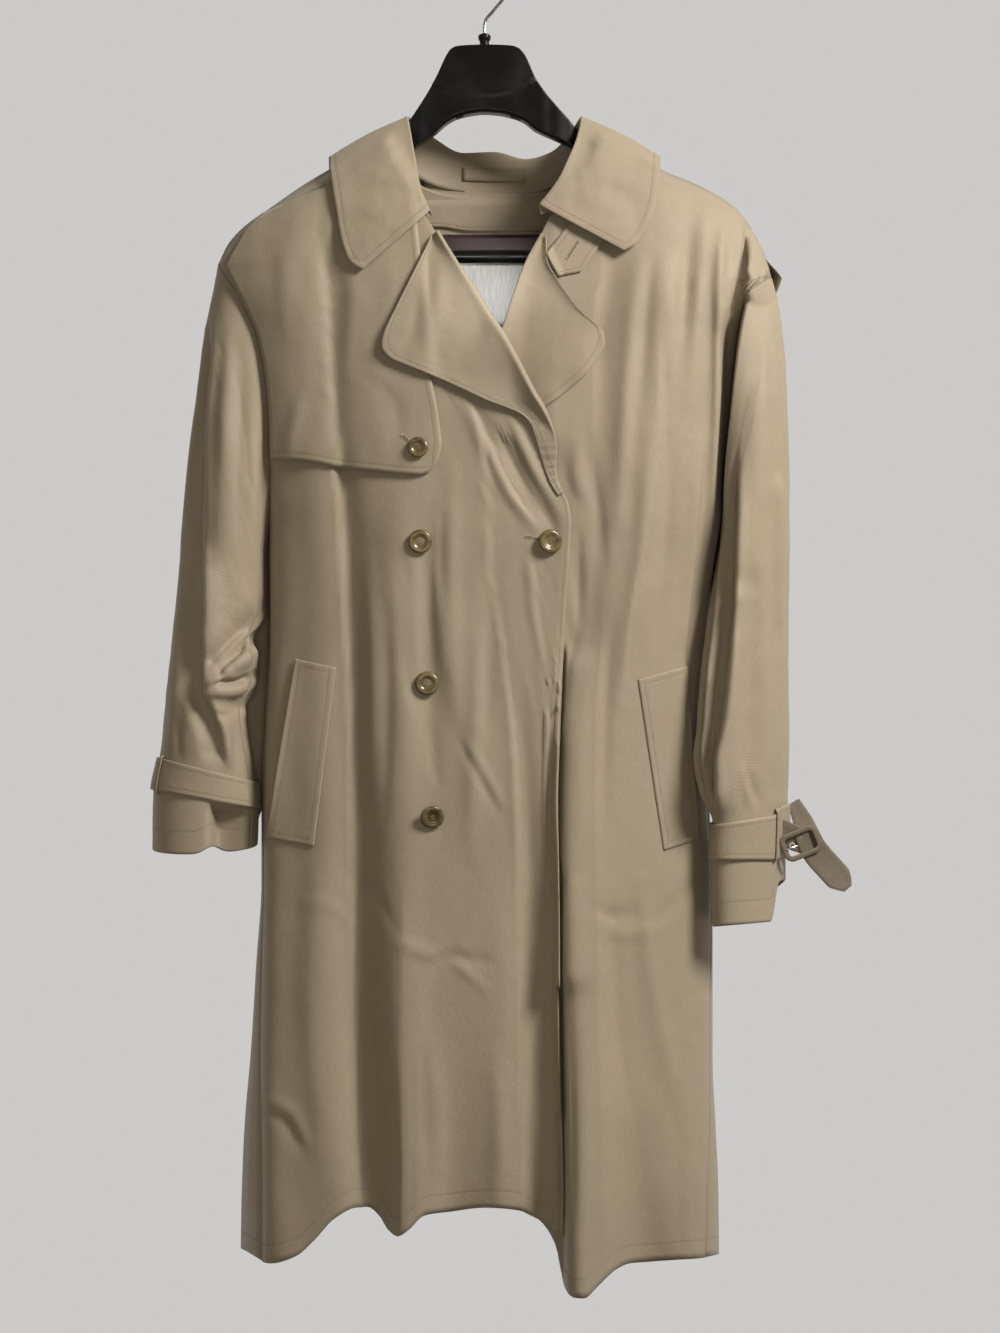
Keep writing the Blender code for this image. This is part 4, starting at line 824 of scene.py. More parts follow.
def ramp_node(tree, value, lo, hi, a=0.0, b=1.0):
    n = node(tree, "ShaderNodeMapRange", interpolation_type="SMOOTHSTEP")
    for key, val in (("From Min", lo), ("From Max", hi), ("To Min", a), ("To Max", b)):
        n.inputs[key].default_value = val
    tree.links.new(value, n.inputs["Value"])
    return n.outputs["Result"]


def texture(tree, kind, vector, stretch=None, turn=0.0, **inputs):
    """A texture on a vector, which may be stretched or turned (degrees) first."""
    if stretch or turn:
        mapping = node(tree, "ShaderNodeMapping", Scale=stretch or (1.0, 1.0, 1.0),
                       Rotation=(0.0, 0.0, math.radians(turn)))
        tree.links.new(vector, mapping.inputs[0])
        vector = mapping.outputs[0]
    n = node(tree, "ShaderNodeTex" + kind, **inputs)
    tree.links.new(vector, n.inputs[0])
    return n.outputs[0]


def weighted(tree, *terms):
    """The sum of outputs, each times its weight."""
    total = None
    for output, weight in terms:
        part = math_node(tree, "MULTIPLY", output, weight)
        total = part if total is None else math_node(tree, "ADD", total, part)
    return total


def times(colour, k):
    return tuple(min(1.0, c * k) for c in colour)


def surface(tree, bsdf, colour, rough, relief=None, **values):
    """Join colour, roughness (a socket or a number) and relief (height, strength, distance) to the shader."""
    tree.links.new(colour, bsdf.inputs["Base Color"])
    if isinstance(rough, float):
        bsdf.inputs["Roughness"].default_value = rough
    else:
        tree.links.new(rough, bsdf.inputs["Roughness"])
    for key, val in values.items():
        bsdf.inputs[key.replace("_", " ")].default_value = val
    if relief:
        height, strength, distance = relief
        bump = node(tree, "ShaderNodeBump", Strength=strength, Distance=distance)
        tree.links.new(height, bump.inputs["Height"])
        tree.links.new(bump.outputs[0], bsdf.inputs["Normal"])


def gabardine(name, colour, rough=0.58, darker=0.80, sheen=0.15):
    """Cotton gabardine: a fine steep twill, soft fading, doubled edges with a painted highlight, and sunk
    seams with painted shade.
    """
    m, tree, bsdf = new_material(name)
    uv = node(tree, "ShaderNodeUVMap", uv_map="cloth").outputs[0]
    here = node(tree, "ShaderNodeTexCoord").outputs["Object"]
    seam, edge = (node(tree, "ShaderNodeAttribute", attribute_name=key).outputs["Fac"]
                  for key in ("seam", "edge"))
    # twill: fine ribs that climb steeply, broken by the threads
    ribs = texture(tree, "Wave", uv, turn=27, Scale=290.0, Distortion=1.2, Detail=1.0)
    slub = texture(tree, "Noise", uv, (620.0, 95.0, 1.0), Scale=1.0)
    weft = texture(tree, "Noise", uv, (80.0, 700.0, 1.0), Scale=1.0)
    fade = texture(tree, "Noise", here, Scale=5.5, Detail=3.0)
    blot = texture(tree, "Noise", here, Scale=38.0, Detail=4.0, Roughness=0.62)
    thread = weighted(tree, (slub, 0.55), (weft, 0.45))
    near = math_node(tree, "ABSOLUTE", seam)
    dark = times(colour, darker)
    warm = (colour[0] * 1.02, colour[1] * 0.975, colour[2] * 0.93)
    base = mix_colour(tree, ramp_node(tree, fade, 0.38, 0.64), colour, times(colour, 1.07))
    for value, lo, hi, a, b, to in ((blot, 0.40, 0.72, 0.0, 0.30, warm),
                                    (thread, 0.42, 0.60, 0.30, 0.0, dark),
                                    (ribs, 0.15, 0.85, 0.16, 0.0, dark),
                                    # painted shade: darker along each row of stitches, for the shade in the
                                    # sunk seam
                                    (near, 0.3, 1.6, 0.14, 0.0, times(colour, 0.62)),
                                    # painted highlight: lighter along the free edges, where light catches the
                                    # doubled edge
                                    (edge, 0.2, 1.0, 0.16, 0.0, times(colour, 1.16))):
        base = mix_colour(tree, ramp_node(tree, value, lo, hi, a, b), base, to)
    # relief: ribs, threads, a slight cockle, and the pull of the stitches
    height = weighted(tree, (ribs, 0.00010), (thread, 0.00020), (blot, 0.00075),
                      (ramp_node(tree, near, 0.0, 2.0, -0.00022, 0.0), 1.0))
    surface(tree, bsdf, base, ramp_node(tree, blot, 0.3, 0.7, rough + 0.05, rough - 0.05),
            (height, 0.75, 1.0), Sheen_Weight=sheen, Sheen_Roughness=0.45, Specular_IOR_Level=0.34)
    return m


def satin(name, colour, rough):
    m, tree, bsdf = new_material(name)
    uv = node(tree, "ShaderNodeUVMap", uv_map="cloth").outputs[0]
    yarn = texture(tree, "Noise", uv, (700.0, 60.0, 1.0), Scale=1.0)
    base = mix_colour(tree, ramp_node(tree, yarn, 0.35, 0.65), times(colour, 0.82), colour)
    surface(tree, bsdf, base, rough, (yarn, 0.3, 0.0002), Sheen_Weight=0.25)
    return m


def marked(name, scales, span, dark, light, rough, relief=None, **values):
    """A surface marked by noise: its first texture colours it, and the last one gives its relief."""
    m, tree, bsdf = new_material(name)
    here = node(tree, "ShaderNodeTexCoord").outputs["Object"]
    marks = [texture(tree, "Noise", here, **scale) for scale in scales]
    share = ramp_node(tree, marks[0], *span) if span else marks[0]
    if not isinstance(rough, float):
        rough = ramp_node(tree, marks[0], *rough)
    surface(tree, bsdf, mix_colour(tree, share, dark, light), rough, relief and (marks[-1], *relief),
            **values)
    return m


def thread_material(name, colour, rough):
    return marked(name, [{"Scale": 300.0}], None, times(colour, 0.85), times(colour, 1.1), rough)


KHAKI = (0.352, 0.294, 0.212)
CLOTH = gabardine("khaki_gabardine", KHAKI)
DARK_CLOTH = gabardine("strap_cloth_dark", (0.165, 0.134, 0.098), 0.60, 0.7, 0.12)
THREAD = thread_material("khaki_thread", (0.33, 0.262, 0.165), 0.62)
DARK_THREAD = thread_material("strap_thread", (0.30, 0.25, 0.19), 0.6)
PALE_THREAD = thread_material("pale_thread", (0.50, 0.43, 0.31), 0.6)
SHADE = thread_material("buttonhole_dark", (0.055, 0.042, 0.028), 0.8)
LINING = satin("lining_satin", (0.045, 0.014, 0.016), 0.38)
LABEL = satin("label_ivory", (0.93, 0.92, 0.89), 0.5)
HORN = marked("horn_button", [{"Scale": 62.0, "Detail": 3.0, "Distortion": 1.2}], (0.36, 0.62),
              (0.100, 0.068, 0.026), (0.185, 0.132, 0.056), 0.30, Coat_Weight=0.25, Coat_Roughness=0.10)
PLASTIC = marked("hanger_black", [{"Scale": 22.0, "Detail": 5.0}, {"Scale": 900.0, "Detail": 2.0}],
                 (0.40, 0.75),
                 (0.0045, 0.0045, 0.005), (0.010, 0.010, 0.011), (0.35, 0.70, 0.30, 0.46), (0.25, 0.0001),
                 Specular_IOR_Level=0.28)
STEEL = marked("hook_steel", [{"Scale": 240.0, "Detail": 3.0}], None, (0.52, 0.52, 0.53), (0.72, 0.72, 0.72),
               (0.3, 0.7, 0.16, 0.30), Metallic=1.0)


def make_panel(name, g, mat=CLOTH, **how):
    """Cloth over a draft grid, in the place of the solid of the same name."""
    return Cloth(name + "_cloth", place(g), mat, [name], **how)


# ------------------------------------------------------------------ the fronts
def shoulder_shut(g, y_seam):
    """Bring a panel's top edge to the shoulder seams, on both sides of the neck."""
    at = g[:1, :, 0]
    on = ramp(at, 219, 224) * (1.0 - ramp(at, 383, 387)) + ramp(at, 600, 605) * (1.0 - ramp(at, 766, 771))
    g[..., 2] = lerp(g[..., 2], y_seam, on * (1.0 - ramp(g[..., 1] - g[:1, :, 1], 0.0, 9.0)))
    return g


FRONT = Ground(-1)

tops = spread((402, 500, 545, 554, 559.5, 566, 601, 662, 716, 727, 749, 771),
              (5, 3, 1, 1, 1, 2, 4, 3, 1, 3, 2), PANEL)
hems = spread((400, 490, 548, 558, 563.5, 570, 600, 640, 680, 688, 696, 703),
              (5, 3, 1, 1, 1, 2, 4, 3, 1, 3, 2), PANEL)
pin_at = int(np.argmin(np.abs(tops - 559.5)))
u, v = panel_grid(tops, hems, LEFT_FRONT_TOP, LEFT_FRONT_HEM, 231, front_right, lambda v: 401.0 + 0 * v,
                  side_first=False,
                  pin=(pin_at, lambda v: lap_edge(v) + 0.9 + 8.0 * (1.0 - ramp(v, 620, 720))), times=PANEL)
y = left_front_y(u, v)
y[0, tops >= 601] -= SEAM
left_g = wear(np.stack((u, v, y), -1), "left", (("last", 14.0), ("top", 12.0)))
left_g = FRONT.add(shoulder_shut(left_g, -SEAM))

# left lapel: turned back from its roll line, over the left front
LEFT_ROLL = ((542, 233), (535, 245), (528, 258), (522, 272), (517, 286), (512, 300), (507, 316), (500, 335),
             (488, 355), (474, 378), (462, 397))
LEFT_LAPEL_EDGE = ((546, 236), (547, 258), (559, 281), (581, 310), (603, 331), (605, 342), (594, 364),
                   (571, 387), (541, 409), (518, 424), (497, 438))
left_lapel_g = laid(FRONT, between(by_index(LEFT_ROLL, 64), by_index(LEFT_LAPEL_EDGE, 64), 34), PLY + 0.4,
                    lambda i, j, u, v: 6.0 * np.exp(-j * 5.0) * (1 - ramp(v, 300, 342))
                    + 4.0 * j * j * (1 - ramp(v, 340, 400))
                    + 0.7 * np.sin(i * 88.0 + 2.0 * np.sin(i * 23.0)) * np.exp(-(1 - j) * 6.0)
                    * ramp(i, 0.58, 0.68) * (1 - ramp(i, 0.93, 0.99))
                    + 0.45 * cloud(u, v, 22, 30, 41.0))

# the front that laps over clears the left front and the end of its lapel
under_lap = Ground(-1)
under_lap.add(left_g)
under_lap.add(left_lapel_g)
tops = spread((219, 246, 328, 386, 429, 500, 541, 557), (2, 4, 3, 3, 4, 3, 2), PANEL)
hems = spread((262, 300, 355, 397, 430, 500, 540, 563), (2, 4, 3, 3, 4, 3, 2), PANEL)
u, v = panel_grid(tops, hems, RIGHT_FRONT_TOP, RIGHT_FRONT_HEM, 231, front_left, lap_edge)
y = top_front_y(u, v)
y[0, tops <= 386] -= SEAM
right_g = shoulder_shut(wear(np.stack((u, v, y), -1), "right", (("first", 14.0), ("top", 12.0))), -SEAM)
push = np.zeros(right_g.shape[:2])
for i, j in zip(*np.where((right_g[..., 0] > 400) & (right_g[..., 0] < 559.5) & (right_g[..., 1] > 300))):
    at_u, at_v, at_y = right_g[i, j]
    low = under_lap.lay(at_u, at_v, PLY + (2.4 if at_v < 400 else 0.9), 10.0 if at_v < 400 else 6.0)
    if low is not None:
        push[i, j] = min(0.0, low - at_y)
right_g[..., 2] += np.minimum(push, soften(push, 6))
FRONT.add(right_g)
FRONT.add(left_lapel_g)

left_front = make_panel("left_front", left_g, lines=(("low", HEM),), free=("low", "first"))
right_front = make_panel("right_front", right_g, lines=(("low", HEM), ("last", EDGE)), free=("low", "last"))


def rolled(lapel, under):
    """A lapel with its fold: extra columns turn round behind its first one, to the cloth it grows from."""
    first = lapel[:, 0]
    behind = np.array([under.height(p[0], p[1], 0.0) or p[2] + 6.0 for p in first])
    low_end = ramp(first[:, 1], 400, 440)
    gap = np.clip(behind - first[:, 2], 1.5, 9.0) * (1.0 - low_end) + 1.4 * low_end
    gap = soften(gap[:, None], 6)[:, 0]
    t = np.gradient(first[:, :2], axis=0)
    side = np.stack((t[:, 1], -t[:, 0]), -1)
    side /= np.linalg.norm(side, axis=1, keepdims=True)
    toward = lapel[:, 3, :2] - first[:, :2]
    side[np.sum(side * toward, axis=1) > 0] *= -1
    cols = []
    for a in np.linspace(170, 15, 8):
        a = math.radians(a)
        out = (gap / 2.0 * math.sin(a) * 0.9)[:, None] * side
        cols.append(np.concatenate((first[:, :2] + out,
                                    (first[:, 2] + gap / 2.0 * (1 - math.cos(a)))[:, None]), 1))
    return np.concatenate((np.stack(cols, 1), lapel), 1)


# storm flap over the right chest
flap_left = by_length(((262, 213), (243, 231), (224, 265), (240, 295), (256, 329), (264, 362), (268.5, 400),
                       (270, 430), (270, 458)), 90)
flap_right = by_length(((393, 158), (414, 190), (424, 290), (431, 377), (438, 410), (442, 444), (438, 462),
                        (433, 468)), 90)
flap = between(flap_left, flap_right, 46)
FLAP_LOW = ((270, 458), (302, 460), (343, 467), (380, 471), (417, 474), (428, 472.5), (437, 464))
for k in range(8):
    w = ramp(1 - k / 8.0, 0, 1)
    uu = np.linspace(270, 434, 46)
    flap[-1 - k, :, 1] = lerp(flap[-1 - k, :, 1], along(FLAP_LOW, uu) - k * 3.4, w)
flap_g = laid(FRONT, flap, PLY + 0.4, lambda i, j, u, v: 0.9 * ramp(i, 0.6, 1.0)
              + 0.9 * (1.0 - ramp(i, 0.1, 0.3)) + 0.7 * cloud(u, v, 30, 60, 61.0)
              + 1.6 * stroke(u, v, 7, 1.0, 1.2, (300, 400), (292, 430), (288, 458)))
storm_flap = make_panel("storm_flap", flap_g, lines=(("low", 7.0), ("last", 7.0)), free=("low", "last"))
FRONT.add(draft(storm_flap.P))

# right lapel: its end runs out along the front's own edge
RIGHT_ROLL = ((436, 231), (445, 246), (455, 262), (466, 280), (478, 299), (489, 317), (500, 333),
              (513, 356), (526, 381), (534, 396), (541.5, 408), (549, 422), (553.6, 434), (555.8, 448),
              (555.2, 460), (554.6, 471), (557, 482), (562, 493))
RIGHT_LAPEL_EDGE = ((431, 236), (415, 268), (398, 302), (383, 334), (381, 346), (389, 357), (405, 364),
                    (430, 374), (462, 388), (488, 400), (508, 407.5), (522, 414), (531, 424), (536, 438),
                    (541, 455), (546, 471), (551, 483), (558.5, 495))
pick = np.linspace(0, 1, 120) * 399
lapel_uv = between(*(np.stack([np.interp(pick, np.arange(400), line[:, k]) for k in (0, 1)], -1)
                     for line in (by_index(RIGHT_ROLL, 400), by_index(RIGHT_LAPEL_EDGE, 400))), 40)
probe = lapel_uv.copy()
probe[..., 0] = np.where(probe[..., 1] > 425,
                         np.minimum(probe[..., 0], lap_edge(np.maximum(probe[..., 1], 452)) - 4.0),
                         probe[..., 0])
right_lapel_g = laid(FRONT, probe, PLY - 0.6,
                     lambda i, j, u, v: (7.0 * np.exp(-j * 6.0) + 4.0 * j * j) * (1 - ramp(v, 398, 446))
                     + 0.4 * cloud(u, v, 26, 30, 71.0) * (1 - ramp(v, 400, 440))
                     + stroke(u, v, 9, 1.2, 1.2, (440, 262), (436, 310), (428, 352))
                     + stroke(u, v, 7, -1.0, 1.2, (420, 292), (414, 330), (404, 350))
                     + 0.3 * np.sin(v * 0.75 + np.sin(v * 0.2)) * ramp(v, 436, 450)
                     * (1 - ramp(v, 476, 488)), soft=4)
right_lapel_g[..., :2] = lapel_uv
right_lapel = make_panel("right_lapel", rolled(right_lapel_g, FRONT), lines=(("last", 7.0),), free=("last",))
left_lapel = make_panel("left_lapel", rolled(left_lapel_g, under_lap), lines=(("last", 7.0),),
                        free=("last",))
FRONT.add(right_lapel_g)

latch = between(by_length(((590, 214), (576, 219), (565, 228), (546, 253)), 30),
                by_length(((624, 222), (612, 231), (599, 246), (581, 271)), 30), 22)
latch_s, latch_t = np.linspace(0, 1, 22)[None, :], np.linspace(0, 1, 30)[:, None]
latch[..., 1] += 16.0 * np.minimum(latch_s / 0.36, (1 - latch_s) / 0.64) * latch_t ** 3
latch_g = laid(FRONT, latch, PLY - 0.3, soft=4)
throat_latch = make_panel("throat_latch", latch_g, lines=(("low", 5.0), ("first", 5.0), ("last", 5.0)),
                          free=("low", "first", "last"))
FRONT.add(latch_g)

# ------------------------------------------------------------------ back and its shield
tops = spread((219, 246, 328, 386, 427, 494, 558, 601, 662, 749, 771), (2, 3, 3, 2, 3, 3, 2, 3, 3, 2), PANEL)
hems = spread((221, 270, 345, 396, 430, 494, 552, 590, 650, 700, 734), (2, 3, 3, 2, 3, 3, 2, 3, 3, 2), PANEL)
BACK_TOP = tuple(sorted(set(RIGHT_FRONT_TOP[:7] + BACK_NECK + LEFT_FRONT_TOP[11:]), key=lambda p: p[0]))
BACK_HEM = ((221, 1260), (241, 1247), (262, 1239), (300, 1222), (342, 1204), (400, 1201), (494, 1201),
            (548, 1207), (610, 1224), (650, 1232), (695, 1240), (719, 1253), (735, 1257))


def back_side(front, body, way):
    """Where the back ends: at the armhole, then past the body's side, folded forward to the front's seam."""
    return lambda v: np.where(v < ARMHOLE_LOW - 10, front(v),
                              body(v) - way * np.maximum(0, way * (front(v) - body(v)) - 2 * SEAM))


u, v = panel_grid(tops, hems, BACK_TOP, BACK_HEM, 209, back_side(front_left, body_left, 1),
                  back_side(front_right, body_right, -1))
l, r = body_left(v), body_right(v)
settled = ramp(v[:, 0], 690, 800)
# below the waist the fourth column from each side stands on the body's side, and the others spread evenly
for side_at, order in ((l, 1), (r, -1)):
    ordered = u[:, ::order]
    turn_at = side_at[:, ::order]
    for col in range(1, 11):
        if col <= 3:
            target = lerp(ordered[:, 0], turn_at[:, 3], col / 3.0)
        else:
            target = lerp(turn_at[:, col], ordered[:, 11], ((col - 3) / 8.0) ** 1.5)
        ordered[:, col] = lerp(ordered[:, col], target, settled)
ul, ur = np.where(u < l, 2 * l - u, u), np.where(u > r, 2 * r - u, u)
y = np.where(u < l, top_front_y(ul, v), np.where(u > r, left_front_y(ur, v), back_y(u, v)))
back_flat = np.stack((np.where(u < l, ul, np.where(u > r, ur, u)), v, y), -1)
back_flat[0, (tops <= 386) | (tops >= 601), 2] += SEAM
back_g = shoulder_shut(wear(back_flat, "back", (("first", 130.0), ("last", 130.0), ("top", 60.0))), SEAM)
BACK = Ground(1)
BACK.add(back_g)
centre = back_g.shape[1] // 2             # the centre back seam
halves = (back_g[:, :centre + 1].copy(), back_g[:, centre:].copy())
halves[0][:, -1, 0] -= 0.03
halves[1][:, 0, 0] += 0.03
back_right = make_panel("back_right", halves[0], lines=(("low", HEM), ("last", 5.0)), free=("low",),
                        out=(0, 1, 0), puff=0.2)
back_left = make_panel("back_left", halves[1], lines=(("low", HEM),), free=("low",), out=(0, 1, 0))

t, s = np.linspace(0, 1, 84)[:, None], np.linspace(0, 1, 110)
u = lerp(lerp(246, 282, t), lerp(745, 716, t), s)
rows = np.stack((u, lerp(along(BACK_TOP, u) + 9.0, 452.0 + 10.0 * np.sin(math.pi * s), t)), -1)
shield_g = laid(BACK, rows, PLY + 0.7, lambda i, j, u, v: 3.0 * ramp(i, 0.4, 1.0) + 2.2 * ramp(i, 0.3, 1.0)
                * np.sin(j * 31.0 + 1.0) * np.sin(j * 11.0)
                + 1.2 * cloud(u, v, 50, 90, 81.0), 9.0, 4)
shield = make_panel("back_storm_shield", shield_g, lines=(("low", 7.0), ("first", 7.0), ("last", 7.0)),
                    free=("low", "first", "last"), out=(0, 1, 0))
BACK.add(draft(shield.P))


# ------------------------------------------------------------------ collar: stand, roll and fall in one cloth
#          roll u  v    y    edge u  v    y
COLLAR = ((429, 211, -54, 362, 269, -60),
          (424, 200, -50, 350, 262, -58),
          (419, 187, -45, 341, 240, -52),
          (415, 166, -36, 335, 206, -42),
          (411, 145, -24, 331, 180, -26),
          (408, 128, -14, 329, 165, -13),
          (406, 117, -5, 329, 157, -4),
          (407, 117.5, 10, 329, 158, 13),
          (415, 123, 28, 342, 180, 40),
          (436, 141, 46, 390, 216, 60),
          (463, 154, 52, 436, 232, 66),
          (494, 153, 54, 492, 238, 68),
          (526, 160, 52, 548, 234, 66),
          (552, 153, 46, 598, 218, 60),
          (574, 130, 28, 646, 180, 40),
          (582, 117.5, 10, 660, 157, 13),
          (583, 117, -5, 660, 156, -4),
          (581, 128, -14, 660, 164, -13),
          (577, 142, -24, 659, 178, -26),
          (570, 158, -36, 655, 204, -42),
          (561, 177, -45, 647, 226, -52),
          (549, 194, -50, 636, 243, -58),
          (540, 205, -54, 624, 250, -60))
#         neck seam u  v   y
STAND = ((434, 216, -52), (428, 212, -49), (419, 203, -45), (408, 187, -37), (400, 169, -27),
         (394, 152, -18),
         (391, 136, -7), (391, 136.5, 10), (400, 156, 26), (419, 178, 39), (453, 190, 45), (494, 194, 47),
         (532, 192, 45), (564, 181, 39), (588, 157, 26), (596, 136.5, 10), (596, 136, -7), (593, 152, -18),
         (586, 169, -27), (576, 187, -37), (562, 202, -45), (550, 210, -49), (541, 214, -52))
ROUND, ACROSS = 190, 30
rolls, edge_line = (by_index([c[k:k + 3] for c in COLLAR], ROUND) for k in (0, 3))
seam_line = by_index(STAND, ROUND)
fall = lerp(rolls[:, None], edge_line[:, None], np.linspace(0, 1, ACROSS)[None, :, None])
bulge = 5.0 * np.sin(math.pi * np.linspace(0, 1, ACROSS))[None, :] * np.ones((ROUND, 1))
u, v, y = fall[..., 0].copy(), fall[..., 1].copy(), fall[..., 2].copy()
low = np.full(u.shape, np.nan)
for i in range(ROUND):
    for j in range(ACROSS):
        if rolls[i, 2] < -12:
            low[i, j] = FRONT.lay(u[i, j], v[i, j], PLY + 1.6, 9.0) or np.nan
        elif rolls[i, 2] > 12:
            low[i, j] = BACK.lay(u[i, j], v[i, j], PLY + 4.9, 9.0) or np.nan
at_front, at_back = ramp(-rolls[:, 2:3], 6, 16), ramp(rolls[:, 2:3], 6, 16)
beside_neck = 1.0 - at_front - at_back
y_f = np.fmin(y - bulge, np.where(np.isnan(low), 1e3, low))
y_b = np.fmax(y + bulge, np.where(np.isnan(low), -1e3, low))
y = y * beside_neck + np.where(at_front > 0, y_f, 0) * at_front + np.where(at_back > 0, y_b, 0) * at_back
v = v - 0.6 * bulge * beside_neck
y = soften(y, 6)
sway = np.sin(np.linspace(0, 26, ROUND))[:, None] * np.linspace(0, 1, ACROSS)[None, :] ** 2
ripple = cloud(u, v, 26, 26, 91.0) + 0.8 * sway
y = y - ripple * at_front + ripple * at_back
fall = np.stack((u, v, y), -1)
inward = np.stack((494 - rolls[:, 0], 0 * rolls[:, 0], 6 - rolls[:, 2]), -1)
top = rolls + 1.9 * unit(inward) + np.array((0, 1.0, 0))
stand = lerp(seam_line[:, None], top[:, None], np.linspace(0, 1, 12)[None, :, None])
fall_start = fall[:, 0]
turn = []
for a in np.linspace(0, math.pi, 7)[1:-1]:
    mid, half = (top + fall_start) / 2, (fall_start - top) / 2
    turn.append(mid - half * math.cos(a) + np.array((0, -1.6 * math.sin(a), 0)))
collar_g = np.concatenate((stand, np.stack(turn, 1), fall[:, 1:]), 1)
collar = Cloth("collar_cloth", place(collar_g), CLOTH, ["collar", "collar_stand"],
               lines=(("last", 7.0), ("top", 7.0), ("low", 7.0)),
               free=("last", "top", "low"), centre=place((494, 190, 0)))


# ------------------------------------------------------------------ inside of the back, seen through the neck
def inside_back(us, vs, lift, ground):
    return np.array([[(a, b, ground.height(a, b, lift)) for a in us] for b in vs])


STAND_SEAM = ((419, 178), (436, 185), (453, 190), (494, 194), (532, 192), (552, 187), (564, 181))
back_in = Ground(-1)
back_in.add(back_flat)
facing_u = np.linspace(424, 564, 44)
facing_g = []
for t in np.linspace(0, 1, 18):
    row = []
    for a in facing_u:
        b = lerp(float(along(STAND_SEAM, a)) - 2.0, lerp(227.0, 231.0, ramp(a, 440, 470)), t)
        y_in = back_in.height(a, max(b, 203.0), PLY)
        row.append((a, b, lerp(46.0, y_in if y_in is not None else 46.0, float(ramp(b, 192, 206)))))
    facing_g.append(row)
facing_g = np.array(facing_g)
facing = make_panel("back_neck_facing", facing_g, lines=(("low", 4.0),), free=("low",))
lining_g = inside_back(np.linspace(430, 560, 34), np.linspace(234, 430, 50), PLY, back_in)
cockle = 0.8 * cloud(lining_g[..., 0], lining_g[..., 1], 20, 60, 15.0)
lining_g[..., 2] -= cockle * ramp(lining_g[..., 1], 324, 350)
lining = make_panel("back_lining", lining_g, mat=LINING, slot="lining")
back_in.add(facing_g)
back_in.add(lining_g)
label_g = inside_back(np.linspace(448, 530, 24), np.linspace(252, 324, 22), 1.8, back_in)
label_g[..., 2] -= 0.5 * np.sin((label_g[..., 0] - 448) / 82 * math.pi) ** 2
label = make_panel("label", label_g, mat=LABEL, wall=0.7, slot="label_ivory", puff=0.0, free=("top",),
                   lines=(("top", 2.0), ("low", 2.0), ("first", 2.0), ("last", 2.0)))
stand_in = Ground(-1)
stand_in.add(stand[70:126])
loop_uv = np.array([[(a, lerp(167.0, 180.0, t) + (a - 463) * 0.02) for a in np.linspace(463, 525, 20)]
                    for t in np.linspace(0, 1, 6)])
loop_g = np.array([[(a, b, (stand_in.height(a, b, 2.0) or 40.0) - 1.2 * math.sin((a - 463) / 62 * math.pi))
                    for a, b in row] for row in loop_uv])
hanging_loop = make_panel("hanging_loop", loop_g, wall=1.0, lines=(("top", 1.8), ("low", 1.8)),
                          free=("top", "low"), puff=0.2)


# ------------------------------------------------------------------ sleeves
# stations: outer line (uo, vo), inner line (ui, vi), their depths, half depths front and back
#                uo   vo   ui   vi   yo   yi  df  db
RIGHT_SLEEVE = ((219, 263, 270, 530, 0, 0, 48, 46),
                (214, 290, 267, 545, -2, 0, 49, 47),
                (208, 318, 266, 556, -4, 0, 49, 47),
                (203, 345, 265, 568, -5, 0, 49, 46),
                (196, 400, 265, 584, -6, -2, 48, 45),
                (188, 462, 265, 600, -8, -3, 47, 43),
                (182, 530, 264, 618, -10, -5, 46, 42),
                (178, 580, 254, 640, -12, -8, 45, 41),
                (173, 631, 258, 664, -14, -8, 45, 40),
                (169, 672, 255, 688, -16, -8, 45, 40),
                (166, 703, 245, 708, -18, -8, 45, 40),
                (163, 735, 249, 742, -20, -8, 44, 39),
                (160, 757, 256, 782, -20, -8, 43, 37),
                (154, 789, 258, 808, -20, -8, 44, 37),
                (153, 818, 258, 826, -20, -8, 45, 38),
                (153, 848, 257, 843, -20, -8, 46, 39))
LEFT_SLEEVE = ((771, 277, 720, 530, 0, 0, 48, 46),
               (777, 300, 719, 545, -2, -4, 49, 46),
               (781, 325, 717, 557, -4, -8, 48, 45),
               (784, 352, 715, 570, -5, -14, 46, 44),
               (787, 405, 712, 590, -6, -22, 44, 42),
               (789, 460, 709, 612, -8, -30, 42, 40),
               (789, 525, 706, 636, -9, -38, 41, 38),
               (789, 580, 702, 664, -10, -45, 40, 36),
               (788, 632, 699, 694, -11, -52, 39, 34),
               (788, 680, 697, 724, -12, -56, 38, 32),
               (788, 722, 694, 756, -12, -58, 38, 31),
               (788, 762, 700, 792, -12, -56, 38, 31),
               (787, 803, 713, 822, -12, -50, 38, 32),
               (786, 842, 711, 855, -12, -48, 39, 33),
               (785, 860, 711, 886, -12, -48, 40, 34),
               (785, 878, 712, 916, -12, -48, 41, 35))
STRAP_TOP, STRAP_LOW, CUFF = 12.0, 13.0, 15.0

# the large creases of the sleeves' fronts: u0 v0 u1 v1 half-width height (+ forward)
SLEEVE_FOLDS = {
    "right": (
        (268, 608, 214, 660, 11, -9), (262, 640, 214, 684, 11, 8), (262, 676, 236, 706, 10, -8),
        (254, 722, 238, 690, 9, 5), (214, 278, 203, 560, 12, -5), (203, 560, 228, 772, 14, 6),
    ),
    "left": (
        (770, 285, 779, 470, 12, -6), (737, 600, 718, 805, 14, 8), (756, 400, 750, 560, 20, 4),
        (702, 690, 700, 780, 8, -5),
    ),
}
